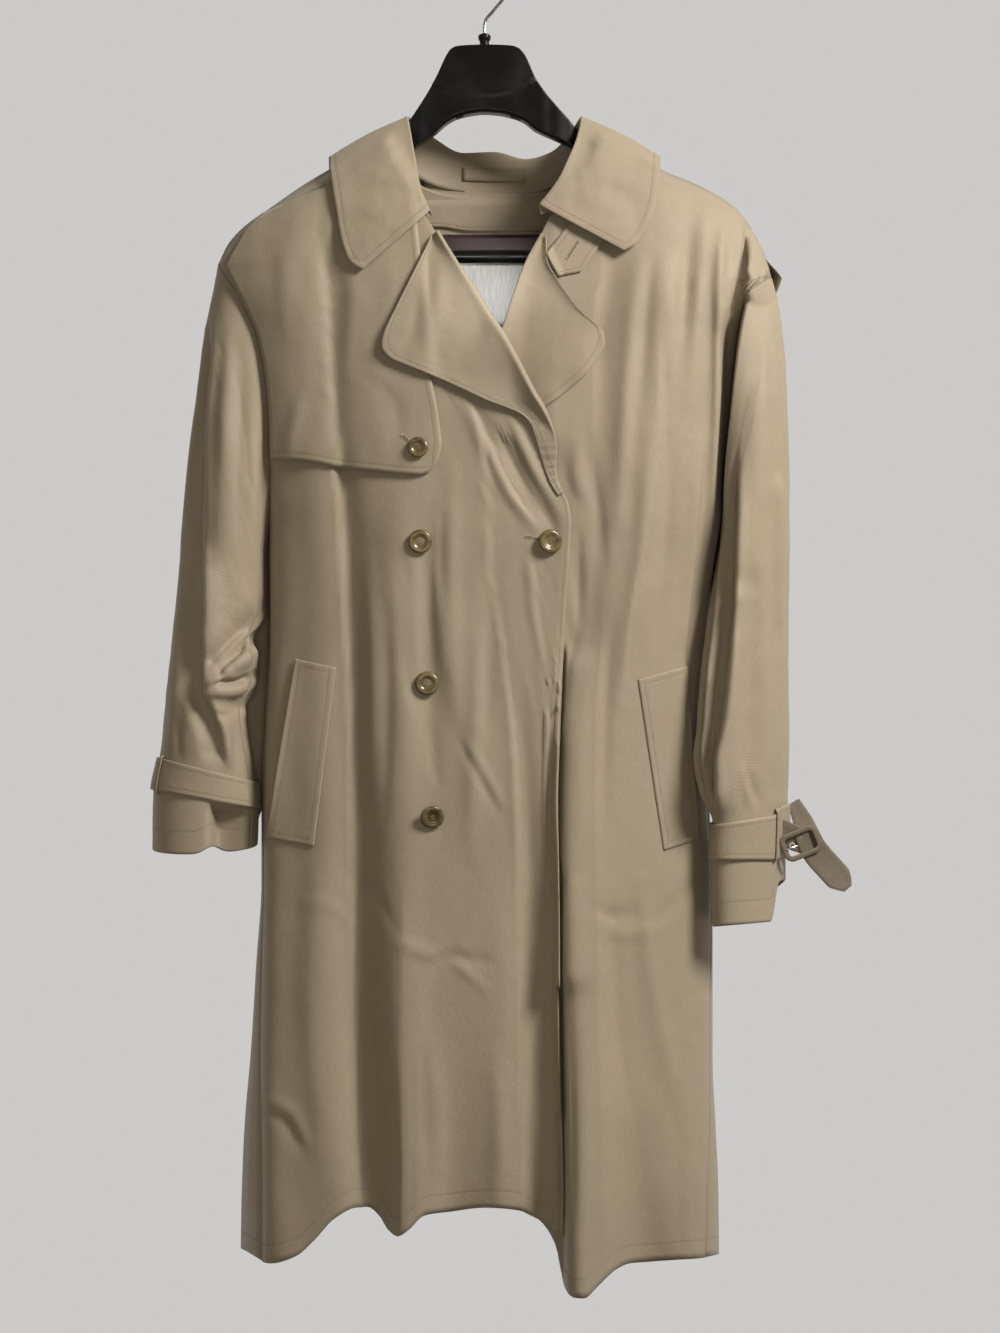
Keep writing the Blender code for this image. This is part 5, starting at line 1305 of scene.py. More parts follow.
# the smaller ones, listed: front of each sleeve, then back
SLEEVE_CREASES = {
    ("right", True): (
        (8, 2.2, 1.3, (232, 320), (226, 400), (222, 480)),
        (7, -1.8, 1.3, (244, 350), (240, 430), (238, 520)),
        (6, 1.8, 1.2, (256, 400), (254, 480), (250, 560)),
        (6, -1.8, 1.2, (206, 420), (204, 520), (203, 620)),
        (6, -1.5, 1.2, (184, 560), (182, 650), (180, 740)),
        # the crumple at the elbow: a lip, the hook under it, the folds below
        (4, 3.2, 1.0, (269, 606), (250, 630), (229, 650), (214, 668)),
        (4, -4.6, 1.0, (268, 616), (249, 640), (230, 657), (219, 668), (224, 678)),
        (7, 2.8, 1.1, (262, 645), (244, 660), (232, 668)),
        (3.4, -4.4, 0.9, (208, 688), (222, 683), (238, 681), (252, 675), (262, 667)),
        (5, 2.4, 1.1, (208, 692), (226, 692), (246, 686), (260, 676)),
        (3.6, -3.2, 0.9, (242, 708), (250, 697), (262, 682)),
        (4, 2.0, 1.0, (238, 716), (248, 706), (258, 692)),
        (3, -1.8, 0.9, (216, 713), (221, 715), (227, 717)),
        (5, 1.8, 1.1, (240, 735), (244, 752), (247, 772)),
        (5, -1.6, 1.1, (234, 728), (236, 748), (238, 768)),
        (4, -1.2, 1.1, (176, 720), (178, 740), (180, 762)),
    ),
    ("left", True): (
        (8, 2.2, 1.3, (762, 310), (764, 400), (765, 500)),
        (6, 2.0, 1.2, (738, 480), (740, 540), (736, 600)),
        (7, -2.6, 1.3, (728, 470), (728, 560), (722, 640), (716, 720)),
        (6, 2.2, 1.2, (735, 640), (730, 700), (720, 760), (716, 806)),
        (7, -2.0, 1.3, (752, 560), (750, 660), (744, 760)),
        (7, 1.8, 1.3, (766, 560), (764, 660), (760, 780)),
        (3.6, 2.0, 1.0, (769, 300), (772, 345), (775, 390), (778, 432), (780, 480), (781, 540), (781, 620)),
        (5, -1.6, 1.2, (772, 500), (774, 600), (773, 700)),
        (5, -1.8, 1.1, (712, 640), (706, 700), (704, 760)),
        (5, 1.6, 1.1, (702, 712), (714, 742), (720, 790)),
        (5, -1.4, 1.0, (745, 770), (752, 788), (760, 806)),
        (4, 1.3, 1.0, (740, 765), (746, 785), (750, 810)),
    ),
    ("right", False): (
        (8, 2.4, 1.3, (204, 380), (198, 480), (192, 600)),
        (7, -2.0, 1.3, (226, 400), (222, 500), (214, 620)),
        (6, 2.4, 1.1, (262, 596), (240, 618), (208, 630)),
        (6, -2.4, 1.1, (262, 624), (238, 648), (204, 656)),
        (6, 2.0, 1.1, (252, 668), (228, 684), (196, 684)),
        (6, -1.6, 1.2, (190, 660), (186, 710), (184, 750)),
        (6, 1.6, 1.2, (226, 700), (228, 730), (230, 760)),
    ),
    ("left", False): (
        (8, 2.2, 1.3, (764, 380), (768, 480), (770, 600)),
        (7, -2.0, 1.3, (742, 420), (744, 520), (746, 640)),
        (6, 2.2, 1.1, (712, 640), (738, 664), (770, 672)),
        (6, -2.2, 1.1, (708, 668), (736, 692), (772, 700)),
        (6, 1.8, 1.1, (708, 716), (734, 734), (766, 736)),
        (6, -1.6, 1.2, (752, 740), (754, 770), (756, 800)),
        (6, 1.6, 1.2, (728, 750), (730, 780), (732, 810)),
    ),
}


# left of these lines the front of each sleeve falls back, and comes forward again toward its outline:
# line (v, u), how deep, how wide
SLEEVE_STEPS = {
    "right": (
        ((300, 212), (330, 213), (400, 208), (457, 205), (560, 203), (642, 203), (689, 205), (715, 216),
         (742, 225), (772, 228)), 9.0, 30.0,
    ),
    "left": (
        ((430, 739), (506, 739.5), (552, 737.4), (644, 732), (720, 724), (766, 716.5), (822, 715)), 11.0,
        44.0,
    ),
}


def sleeve_step(side, u, v):
    line, deep, wide = SLEEVE_STEPS[side]
    d = along(line, v) - u
    on = ramp(v, line[0][0], line[0][0] + 80) * (1.0 - ramp(v, line[-1][0] - 24, line[-1][0]))
    return on * (-deep * ramp(d, -1.0, 6.0) * (1.0 - ramp(d, 10.0, wide))
                 + 2.2 * np.exp(-((d + 3.0) / 4.5) ** 2))


def sleeve(side, w, deg):
    """Draft points of a sleeve: w counts its stations, deg turns from the outer line over the front."""
    rows = RIGHT_SLEEVE if side == "right" else LEFT_SLEEVE
    w, deg = np.broadcast_arrays(np.asarray(w, float), np.asarray(deg, float))
    th = np.radians(deg)
    s = (1.0 - np.cos(th)) / 2.0
    front = np.sin(th) >= 0
    prof = np.abs(np.sin(th)) ** 0.86

    def plain(ww):
        uo, vo, ui, vi, yo, yi, df, db = (read(ww, range(len(rows)), [r[k] for r in rows]) for k in range(8))
        return lerp(uo, ui, s), lerp(vo, vi, s), lerp(yo, yi, s) + np.where(front, -df * prof, db * prof)

    u, v, y = plain(w)
    u0, v0, y0 = plain(0.0 * w)
    fade = np.maximum(0.0, 1.0 - w / 5.0) ** 1.5
    va = lerp(ARMHOLE_TOP_L if side == "right" else ARMHOLE_TOP_R, ARMHOLE_LOW, s)
    ua = front_left(va) if side == "right" else front_right(va)
    fy = top_front_y(ua, va) if side == "right" else left_front_y(ua, va)
    ya = np.where(front, fy, back_y(ua, va))
    fade_y = np.where(front, np.maximum(0.0, 1.0 - w / lerp(0.9, 0.13, ramp(s, 0.03, 0.10))),
                      fade) if side == "left" else fade
    u, v, y = u + (ua - u0) * fade, v + (va - v0) * fade, y + (ya - y0) * fade_y
    apart = 1.0 - ramp(w, 0.5, 3.0)
    u = u + (-0.3 if side == "right" else 0.35) * apart
    v = v + np.where(s < 0.5, 0.3 * apart * np.cos(th), 0.0)
    if side == "right":
        v = v + ramp(w, 13.0, CUFF) * prof * np.where(front, 8.0, -7.0)
        v = v - np.where(front, 7.0 * ramp(w, 13.4, CUFF) * np.exp(-((u - 212.0) / 10.0) ** 2), 0.0)
        below = ramp(w, 13.0, 13.5) * front * prof ** 0.6
        y = y + below * (3.0 * np.exp(-((u - 213.0) / 5.0) ** 2) + 25.0 * ramp(u, 208, 219)
                         * (1.0 - ramp(u, 219, 268)))
    else:
        dip = np.interp(w, (11, 12, 13, 14, 15),
                        (0, 9, 17, 30, 42)) * ramp(deg, 34, 54) * (1.0 - 0.75 * s) * ramp(180 - deg, 0, 20)
        v = v + np.where(front, dip, ramp(w, 13.0, CUFF) * prof * 7.0)
    move = np.zeros(u.shape)
    for *run, half, height in SLEEVE_FOLDS[side]:
        move = move + height * np.exp(-(near_segment(u, v, *run)[0] / half) ** 2)
    y = y - np.where(front, move * prof * ramp(w, 0.5, 3.0) * (1.0 - ramp(w, 11.2, 12.0)), 0.0)
    y = y + np.where(front, 0.0, 3.0 * np.sin(3.0 * th + w * 0.5) * prof * ramp(w, 1.0, 4.0)
                     * (1.0 - ramp(w, 11.0, 12.0)))
    fill = ramp(-np.sin(th), 0.1, 0.6) * s
    if side == "right":
        u = u + read(v, (515, 530, 560, 590, 620, 650, 700, 745, 785, 810, 830),
                     (0, 9, 14, 20, 32, 34, 44, 44, 34, 14, 0)) * fill
    else:
        u = u - read(v, (515, 535, 570, 620), (0, 6, 6, 0)) * fill
    # beside the body, not in it
    margin = 5.0 * ramp(v, ARMHOLE_LOW, ARMHOLE_LOW + 60)
    l, r = body_left(v), body_right(v)
    c, a = (l + r) / 2.0, (r - l) / 2.0 + margin
    b = np.where(y < 0, body_front(v) + 8.0 + margin, body_back(v) + 4.0 + margin)
    g = (np.abs(u - c) / a) ** SECTION_POWER + (np.abs(y) / b) ** SECTION_POWER
    k = np.where((v >= ARMHOLE_LOW) & (g < 1.0), np.maximum(g, 1e-6) ** (-1.0 / SECTION_POWER), 1.0)
    return np.stack((c + (u - c) * lerp(1.0, k, 0.35), v, np.where(np.abs(y) > 6, y * k, y)), -1)


def sleeve_frame(side, w, deg):
    """Frame points and outward unit normals of a sleeve."""
    g = sleeve(side, w, deg)
    P = place(g)
    e = 0.05
    a = place(sleeve(side, w, np.asarray(deg) + 2)) - place(sleeve(side, w, np.asarray(deg) - 2))
    b = place(sleeve(side, np.minimum(CUFF, w + e), deg)) - place(sleeve(side, np.maximum(0, w - e), deg))
    n = unit(np.cross(a, b))
    mid = (place(sleeve(side, w, 0.0)) + place(sleeve(side, w, 180.0))) / 2
    n = np.where(np.sum(n * (P - mid), -1, keepdims=True) < 0, -n, n)
    return g, P, n


STATIONS = np.array([0.0, 0.6, 1.2, 2, 3, 4, 5, 6, 6.8, 7.5, 8.2, 8.9, 9.6, 10.4, 11.2, 12, 13, 14, 15])
SEAM_DEG = 0.25


def sleeve_cloth(side, part, lo, hi, cols):
    w = read(np.linspace(0, len(STATIONS) - 1, 172), range(len(STATIONS)), STATIONS)[:, None]
    deg = np.linspace(lo, hi, cols)[None, :]
    g, P, N = sleeve_frame(side, w, deg)
    u, v = g[..., 0], g[..., 1]
    front = np.sin(np.radians(deg)) >= 0
    prof = np.abs(np.sin(np.radians(deg)))
    hold = ramp(w, 0.6, 2.2) * (1.0 - 0.75 * ramp(w, 11.4, 12.0))
    fine = (sum(stroke(u, v, *c) for c in SLEEVE_CREASES[(side, True)]) + sleeve_step(side, u, v)) * front
    fine = fine + sum(stroke(u, v, *c) for c in SLEEVE_CREASES[(side, False)]) * (~front)
    around = deg / 360.0 * 210.0 + 0 * w
    down = w * 38.0 + 0 * deg
    seed = 31.0 if side == "right" else 37.0
    rumple = 1.1 * cloud(around, down, 40, 110, seed) + 0.5 * cloud(around, down, 15, 26, seed + 2)
    fine = fine * ramp(prof, 0.05, 0.4) * hold + rumple * hold
    fine = fine * ramp(np.minimum(deg - lo, hi - deg), 0, 9)
    P = P + N * fine[..., None] / 1000.0
    name = side + "_" + part + "_sleeve"
    return Cloth(name + "_cloth", P, CLOTH, [name], lines=(("low", 22.0),), free=("low",),
                 centre=(place(sleeve(side, w, 0.0)) + place(sleeve(side, w, 180.0))) / 2)


sleeve_cloths = []
for side in ("right", "left"):
    sleeve_cloths.append(sleeve_cloth(side, "top", -112 + SEAM_DEG, 148 - SEAM_DEG, 92))
    sleeve_cloths.append(sleeve_cloth(side, "under", 148 + SEAM_DEG, 248 - SEAM_DEG, 38))

straps = []
for side in ("right", "left"):
    w = lerp(STRAP_TOP, STRAP_LOW, np.linspace(0, 1, 15))[:, None]
    deg = np.linspace(0, 360, 121)[None, :-1]
    g, P, N = sleeve_frame(side, w, deg)
    lift = PLY + 0.5 + 0.5 * np.sin(np.radians(deg * 3 + 40)) * ramp(w, 12.0, 12.6)
    P = P + N * (lift / 1000.0)[..., None]
    strap = Cloth(side + "_cuff_strap_cloth", P, CLOTH, [side + "_cuff_strap"], wall=1.6,
                  lines=(("top", 5.0), ("low", 5.0)),
                  free=("top", "low"), centre=P.mean(axis=(0, 1)), closed=True)
    straps.append(strap)

# ------------------------------------------------------------------ pocket welts
#                    top-left    top-right   bottom-right bottom-left
WELTS = {"right": ((295, 658), (336, 667), (314, 846), (265, 837)),
         "left": ((638, 679), (688, 665), (700, 838), (664, 850))}
welts = []
for side, (tl, tr, br, bl) in WELTS.items():
    uv = between(by_length((tl, bl), 84), by_length((tr, br), 84), 24)
    open_at = (lambda j: np.exp(-j * 7.0)) if side == "right" else (lambda j: np.exp(-(1 - j) * 7.0))
    g = laid(FRONT, uv, 1.15, lambda i, j, u, v: 3.4 * open_at(j) * np.sin(math.pi * i) ** 0.5
             + 0.25 * np.sin(j * 34.0 + 3 * np.sin(j * 9.0)) * (np.exp(-i * 16.0) + np.exp(-(1 - i) * 16.0)),
             3.5 if side == "right" else 1.2, 3)
    welts.append(Cloth(side + "_pocket_welt_cloth", place(g), CLOTH, [side + "_pocket_welt"], wall=0.6,
                       lines=(("top", 6.0), ("low", 6.0), ("first", 6.0), ("last", 6.0)),
                       free=("top", "low", "first", "last"), puff=0.02))
    FRONT.add(g)

# ------------------------------------------------------------------ the tab behind the left shoulder's point
TAB_NEAR = ((759.4, 253.8), (763, 263), (766, 268.5), (769, 273), (770.5, 279), (771.5, 286), (773, 295))
TAB_FAR = ((759.8, 253.2), (768, 261.5), (776, 270), (781.8, 277.3), (780, 283), (777, 290), (773.8, 296))
tab_uv = between(by_length(TAB_NEAR, 44), by_length(TAB_FAR, 44), 16)
tab_t, tab_i = np.linspace(0, 1, 16)[None, :], np.linspace(0, 1, 44)[:, None]
tab_y = lerp(9.0, -2.0, tab_t)
tab_y = tab_y + (2.0 * np.exp(-((tab_i - 0.56) / 0.04) ** 2) - 2.5 * ramp(tab_i, 0.6, 0.85)) * tab_t
tab_g = np.concatenate((tab_uv, tab_y[..., None]), -1)
shoulder_tab = make_panel("left_shoulder_tab", tab_g, mat=DARK_CLOTH, lines=(("last", 2.5),),
                          free=("last",), puff=0.1)


# ------------------------------------------------------------------ solid meshes
def grid_mesh(name, P, closed_u=False, closed_v=False, caps=False):
    """A mesh over a grid of points (frame, metres), with its normals turned outward."""
    r, c = P.shape[:2]
    faces = grid_quads(r, c, closed_u, closed_v).tolist()
    if caps:
        faces += [tuple(range(c))[::-1], tuple(range((r - 1) * c, r * c))]
    mesh = bpy.data.meshes.new(name)
    mesh.from_pydata(P.reshape(-1, 3).tolist(), [], faces)
    outward(mesh, 1e-6)
    mesh.shade_smooth()
    return mesh


def tube(path, radius, around=18):
    """Rings round a path of frame points (metres)."""
    path = np.asarray(path, float)
    t = unit(np.gradient(path, axis=0))
    a = np.cross(t, np.array((0.0, 1.0, 0.0)))
    bad = np.linalg.norm(a, axis=1) < 1e-3
    a[bad] = np.cross(t[bad], np.array((1.0, 0.0, 0.0)))
    a = unit(a)
    b = np.cross(t, a)
    th = np.linspace(0, 2 * math.pi, around, endpoint=False)[None, :, None]
    radius = np.broadcast_to(np.asarray(radius, float), (len(path),))[:, None, None]
    return path[:, None] + (a[:, None] * np.cos(th) + b[:, None] * np.sin(th)) * radius


# ------------------------------------------------------------------ buttons: a rim, four holes and thread
#            radius (of 1)  height (mm)
BUTTON_RING = ((0.0, 2.5), (0.30, 2.5), (0.44, 2.7), (0.52, 3.2), (0.60, 3.7), (0.70, 4.05), (0.80, 4.1),
               (0.90, 3.75), (0.97, 3.1), (1.0, 2.4), (0.98, 1.7), (0.92, 0.9), (0.84, 0.2), (0.80, 0.0),
               (0.0, 0.0))
HOLE_AT, HOLE_R = 1.75, 0.78


def button_mesh(d):
    ring = np.array(BUTTON_RING)
    th = np.linspace(0, 2 * math.pi, 56, endpoint=False)
    P = np.stack((ring[:, :1] * d / 2 * np.cos(th), ring[:, :1] * d / 2 * np.sin(th), ring[:, 1:] + 0 * th),
                 -1) / 1000.0
    mesh = grid_mesh("button", P, closed_u=True)
    ob = bpy.data.objects.new("button_blank", mesh)
    COAT.objects.link(ob)
    bm = bmesh.new()
    for k in range(4):
        a = math.radians(45 + 90 * k)
        spot = Matrix.Translation((HOLE_AT * math.cos(a) / 1000, HOLE_AT * math.sin(a) / 1000, 0.0015))
        bmesh.ops.create_cone(bm, cap_ends=True, segments=14, radius1=HOLE_R / 1000, radius2=HOLE_R / 1000,
                              depth=0.008, matrix=spot)
    cutter = bpy.data.meshes.new("button_holes")
    bm.to_mesh(cutter)
    bm.free()
    tool = bpy.data.objects.new("button_holes", cutter)
    COAT.objects.link(tool)
    m = ob.modifiers.new("holes", "BOOLEAN")
    m.operation, m.object, m.solver = "DIFFERENCE", tool, "EXACT"
    cut = bpy.data.meshes.new_from_object(ob.evaluated_get(bpy.context.evaluated_depsgraph_get()))
    bpy.data.objects.remove(ob)
    bpy.data.objects.remove(tool)
    cut.set_sharp_from_angle(angle=math.radians(50))
    return cut


#            name            u    v    diameter tilt      turn
BUTTONS = (("button_flap", 418, 447, 20.0, (0.0, 0.0), 20),
           ("button_chest", 420, 541, BUTTON_D, (0.0, 0.0), 35),
           ("button_waist", 427, 683, BUTTON_D, (0.0, 0.0), -10),
           ("button_low", 432, 816, BUTTON_D, (0.1, -0.35), 10),
           ("button_lap", 550, 541, BUTTON_D, (0.25, 0.0), 0))
button_meshes = {d: button_mesh(d) for d in (20.0, BUTTON_D)}
for name, at_u, at_v, diameter, tilt, turned in BUTTONS:
    at_y = FRONT.lay(at_u, at_v, WALL / 2.0 + 0.35,
                     diameter * 0.375) - (abs(tilt[0]) + abs(tilt[1])) * diameter * 0.3
    gx = (FRONT.height(at_u + 8, at_v, 0) - FRONT.height(at_u - 8, at_v, 0)) / 16.0
    gz = (FRONT.height(at_u, at_v + 8, 0) - FRONT.height(at_u, at_v - 8, 0)) / 16.0
    normal = Vector((gx + tilt[0], -1.0, -gz + tilt[1])).normalized()
    facing_out = normal.to_track_quat("Z", "Y").to_matrix().to_4x4()
    spot = (Matrix.Translation(Vector(place((at_u, at_v, at_y)))) @ facing_out
            @ Matrix.Rotation(math.radians(turned), 4, "Z"))
    mesh = button_meshes[diameter].copy()
    mesh.transform(spot)
    join_object(name + "_horn", mesh, HORN, [name])
    t = Thread()
    for side_y in (-1, 1):
        for off in (-0.34, 0.0, 0.34):
            h = HOLE_AT / math.sqrt(2)
            a, b = (Vector((q, side_y * h + off, 2.5 + 0.1)) / 1000 for q in (-h - 0.35, h + 0.35))
            t.dash(np.array(spot @ a), np.array(spot @ b), np.array(spot.to_3x3() @ Vector((0, 0, 1))), 0.34,
                   0.55 - abs(off) * 0.4)
    t.piece(name + "_thread", DARK_THREAD)


# ------------------------------------------------------------------ buttonholes, worked with satin stitches
def buttonhole(name, p0, p1, half=1.5):
    thread = Thread()
    n = int(math.hypot(p1[0] - p0[0], p1[1] - p0[1]) / 0.55)
    line = np.array([(lerp(p0[0], p1[0], t), lerp(p0[1], p1[1], t)) for t in np.linspace(0, 1, n)])
    d = (line[-1] - line[0]) / np.linalg.norm(line[-1] - line[0])
    w = np.array((-d[1], d[0]))
    y = np.array([FRONT.height(a, b, WALL / 2 + 0.1) for a, b in line])
    P = place(np.concatenate((line, y[:, None]), 1))
    side = place(np.concatenate((line + w, y[:, None]), 1)) - P
    N = unit(np.cross(side, np.gradient(P, axis=0)))
    N[N[:, 1] > 0] *= -1
    for k in range(n):
        for s in (-1, 1):
            reach = half * (1.0 + 0.06 * math.sin(k * 2.1))
            thread.dash(P[k] + side[k] * s * 0.25, P[k] + side[k] * s * reach, N[k], 0.42, 0.5)
    for k in (0, -1):
        for q in (-0.3, 0.0, 0.3):
            step_on = (P[1] - P[0]) / np.linalg.norm(P[1] - P[0]) * q / 1000
            thread.dash(P[k] + step_on - side[k] * half, P[k] + step_on + side[k] * half, N[k], 0.4, 0.6)
    stitches = thread.piece(name, PALE_THREAD)
    lift = N * 0.00012
    strip = np.stack((P + lift - side * 0.4, P + lift + side * 0.4), 1)
    return [stitches, join_object(name + "_slit", grid_mesh(name + "_slit", strip), SHADE)]


holes = {"flap": buttonhole("flap_buttonhole", (402, 434), (410, 441)),
         "front": buttonhole("front_buttonhole", (526, 536), (541, 539)),
         "latch": buttonhole("latch_buttonhole", (579, 240), (567, 258))}

# ------------------------------------------------------------------ loops of the cuff straps
strap_loops = []
for side, at in (("left", 48), ("right", 26)):
    w = np.linspace(STRAP_TOP - 0.12, STRAP_LOW + 0.12, 34)[:, None]
    deg = np.linspace(at - 2.8, at + 2.8, 8)[None, :]
    g, P, N = sleeve_frame(side, w, deg)
    lift = PLY * 2 + 0.7 - 2.6 * (1 - ramp(w, STRAP_TOP - 0.12, STRAP_TOP - 0.02))
    lift = lift - 2.6 * ramp(w, STRAP_LOW + 0.02, STRAP_LOW + 0.12) + 0 * deg
    P = P + N * (lift / 1000.0)[..., None]
    strap_loops.append(Cloth(side + "_strap_loop_cloth", P, CLOTH, [side + "_strap_loop"], wall=1.2,
                             lines=(("first", 1.6), ("last", 1.6)),
                        free=("first", "last"), centre=P.mean(axis=(0, 1))
                             + np.array((-0.02 if side == "left" else 0.02, 0.03, 0)), puff=0.15))


# ------------------------------------------------------------------ left cuff strap's end and buckle
def strap_grid(line, rows, cols, slope):
    c = by_index(line, rows)
    c = np.stack([soften(c[:, k:k + 1], 3)[:, 0] for k in range(4)], -1)
    d = unit(np.gradient(c[:, :2], axis=0))
    q = np.linspace(-1, 1, cols)[None, :]
    h = c[:, 3:4]
    return np.stack((c[:, :1] - d[:, 1:] * h * q, c[:, 1:2] + d[:, :1] * h * q, c[:, 2:3]
                     - d[:, 1:] * h * q * slope), -1)


STRAP_END = ((793, 802, 0, 7), (798, 811, -15, 8), (803, 822, -29, 10), (807, 834, -37.8, 12),
             (812, 846, -36.4, 13), (819, 856, -34.4, 13.5), (829, 867, -33, 13.5), (837, 876, -33, 13.5),
             (842.5, 882, -33, 10.5), (848, 888.5, -33.5, 4.5))
end_g = strap_grid(STRAP_END, 76, 22, 0.3)
strap_end = make_panel("left_strap_end", end_g, mat=DARK_CLOTH, wall=1.8,
                       lines=(("first", 5.0), ("last", 5.0), ("low", 6.0)), free=("first", "last", "low"),
                       slot="strap_leather", puff=0.5)
LEAD = ((771, 828, -42, 13), (779, 831, -41.5, 13), (788, 835, -40.5, 13), (797, 838.5, -39.5, 12.5),
        (806, 842, -39.0, 12))
lead_g = strap_grid(LEAD, 30, 20, 0.1)
lead = Cloth("left_strap_lead", place(lead_g), DARK_CLOTH, wall=1.6, lines=(("first", 4.0), ("last", 4.0)),
             free=("first", "last"),
             slot="strap_leather", puff=0.4)

BUCKLE_U, BUCKLE_V, BUCKLE_Y, BUCKLE_SLOPE, BUCKLE_ANGLE = 801.0, 843.0, -43.5, 0.3, -22.0
BUCKLE_W, BUCKLE_H, BUCKLE_BAR, BUCKLE_T = 40.0, 29.0, 5.4, 4.0


def buckle_place(px, py, out):
    """A point of the buckle: across, down and out of its plane, in mm."""
    ca, sa = math.cos(math.radians(BUCKLE_ANGLE)), math.sin(math.radians(BUCKLE_ANGLE))
    u = BUCKLE_U + px * ca - py * sa
    v = BUCKLE_V + px * sa + py * ca
    return place(np.stack((u, v, BUCKLE_Y + BUCKLE_SLOPE * (u - BUCKLE_U) - out), -1))


half_w, half_h, round_r = (BUCKLE_W - BUCKLE_BAR) / 2.0, (BUCKLE_H - BUCKLE_BAR) / 2.0, 6.0
mid = []
for cx, cy, a0 in ((half_w - round_r, half_h - round_r, 0), (-(half_w - round_r), half_h - round_r, 90),
                   (-(half_w - round_r), -(half_h - round_r), 180),
                   (half_w - round_r, -(half_h - round_r), 270)):
    for a in np.radians(a0 + np.linspace(0, 90, 12)):
        mid.append((cx + round_r * math.cos(a), cy + round_r * math.sin(a), math.cos(a), math.sin(a)))
mid = np.array(mid)
th = np.linspace(0, 2 * math.pi, 20, endpoint=False)
square_cos, square_sin = (np.sign(part) * np.abs(part) ** 0.7 for part in (np.cos(th), np.sin(th)))
px = mid[:, :1] + mid[:, 2:3] * square_cos * BUCKLE_BAR / 2
py = mid[:, 1:2] + mid[:, 3:4] * square_cos * BUCKLE_BAR / 2
buckle_p = buckle_place(px, py, square_sin[None, :] * BUCKLE_T / 2 + 0 * px)
frame_mesh = grid_mesh("left_buckle_covered", buckle_p, closed_u=True, closed_v=True)
join_object("left_buckle_covered", frame_mesh, DARK_CLOTH, ["left_buckle"])
# its prong, over the strap to the frame's left bar, and the eyelet it goes through
prong_line = buckle_place(np.linspace(-4.0, -17.5, 22), np.linspace(1.0, 0.2, 22), 1.2
                          + 1.6 * np.sin(np.linspace(0.4, math.pi, 22)))
prong_p = tube(prong_line, np.interp(np.arange(22), (0, 16, 21), (1.25, 1.2, 0.7)) / 1000, 14)
join_object("left_buckle_prong", grid_mesh("left_buckle_prong", prong_p, closed_u=True, caps=True),
            STEEL)
ea = np.linspace(0, 2 * math.pi, 28, endpoint=False)
eb = np.linspace(0, 2 * math.pi, 10, endpoint=False)
ring_r = 2.6 + 0.7 * np.cos(eb)[None, :]
eyelet_p = buckle_place(-9.0 + ring_r * np.cos(ea)[:, None], -1.0 + ring_r * np.sin(ea)[:, None],
                        -1.4 + 0.6 * np.sin(eb)[None, :] + 0 * ea[:, None])
eyelet_mesh = grid_mesh("left_strap_eyelet", eyelet_p, closed_u=True, closed_v=True)
eyelet = join_object("left_strap_eyelet", eyelet_mesh, PALE_THREAD)

# ------------------------------------------------------------------ hanger
#            u    top  low  half thickness
YOKE = ((396, 140, 166, 6.0), (403, 130, 157, 6.0), (411, 119, 149, 6.5), (422, 103, 142, 9.0),
        (436, 79, 132, 9.0), (447, 56, 122.5, 9.2), (451, 50.5, 120, 9.4), (457, 47.6, 117, 9.6),
        (470, 46.6, 113.6, 10.0), (484, 46.2, 112, 10.0), (500, 46.4, 113.2, 10.0), (512, 47.2, 116, 9.8),
        (518, 49.2, 118, 9.5), (524, 55, 121, 9.2), (536, 80, 130, 9.0), (556, 106, 139, 9.0),
        (568, 119, 145, 7.5), (577, 129.5, 152, 6.0), (592, 144, 164, 6.0))
#             u   depth of the arm, half thickness, how far below the seam
ARM_LEFT = ((258, 34, 11, 4), (264, 40, 14, 2), (274, 44, 16, 0), (284, 30, 16, 0), (303, 27, 15.5, 0),
            (328, 27, 14, 0), (347, 27, 13, 0), (366, 27, 10, 0), (382, 27, 7, 0))
ARM_RIGHT = ((606, 27, 7, 0), (621, 27, 10, 0), (641, 27, 13, 0), (662, 27, 14, 0), (692, 27, 15.5, 0),
             (708, 30, 16, 0), (718, 44, 16, 0), (726, 40, 13, 3), (732, 34, 9, 7))
MOULD_STEP = ((424, 84), (435, 88.5), (448, 93), (470, 97.5), (490, 98), (505, 96), (520, 90), (533, 82.5),
              (540, 76))
BAR_V, BAR_R = 256.0, 6.6


def seam_height(u):
    """Height of the shoulder seam, which lies on the hanger's arms."""
    g = right_g if u < 494 else left_g
    return float(np.interp(u, g[0, :, 0], g[0, :, 1]))


INSIDE = (Ground(-1), Ground(1))
INSIDE[0].add(right_g)
INSIDE[0].add(left_g)
INSIDE[1].add(back_g)
arm = [(at_u, seam_height(at_u) + 5.0 + drop, seam_height(at_u) + 5.0 + drop + depth, half)
       for at_u, depth, half, drop in ARM_LEFT + ARM_RIGHT]
hang = sorted(arm + list(YOKE))
us = np.concatenate((np.linspace(258, 398, 42), np.linspace(401, 590, 150), np.linspace(594, 732, 42)))
hang_top, hang_low, hang_half = (read(us, [h[0] for h in hang], [h[k] for h in hang])[:, None]
                                 for k in (1, 2, 3))
yoke = (ramp(us, 384, 398) * (1 - ramp(us, 590, 604)))[:, None]
fb = np.concatenate((np.linspace(0, 0.06, 5), np.linspace(0.08, 0.94, 42), np.linspace(0.955, 1.0, 5)))
bb = np.array((1.0, 0.97, 0.9, 0.7, 0.45, 0.25, 0.1, 0.04, 0.0))
b = np.concatenate((fb, bb[:-1]))[None, :]
sign = np.concatenate((-np.ones(len(fb)), np.ones(len(bb) - 1)))[None, :]
corner = 2.4 / (hang_low - hang_top)
plate = np.sqrt(np.clip(1 - np.clip(1 - b / corner, 0, 1) ** 2, 0, 1)) * 0.3 + 0.7
plate = plate * (1.0 - 0.12 * np.clip(1 - (1 - b) / corner, 0, 1) ** 2)
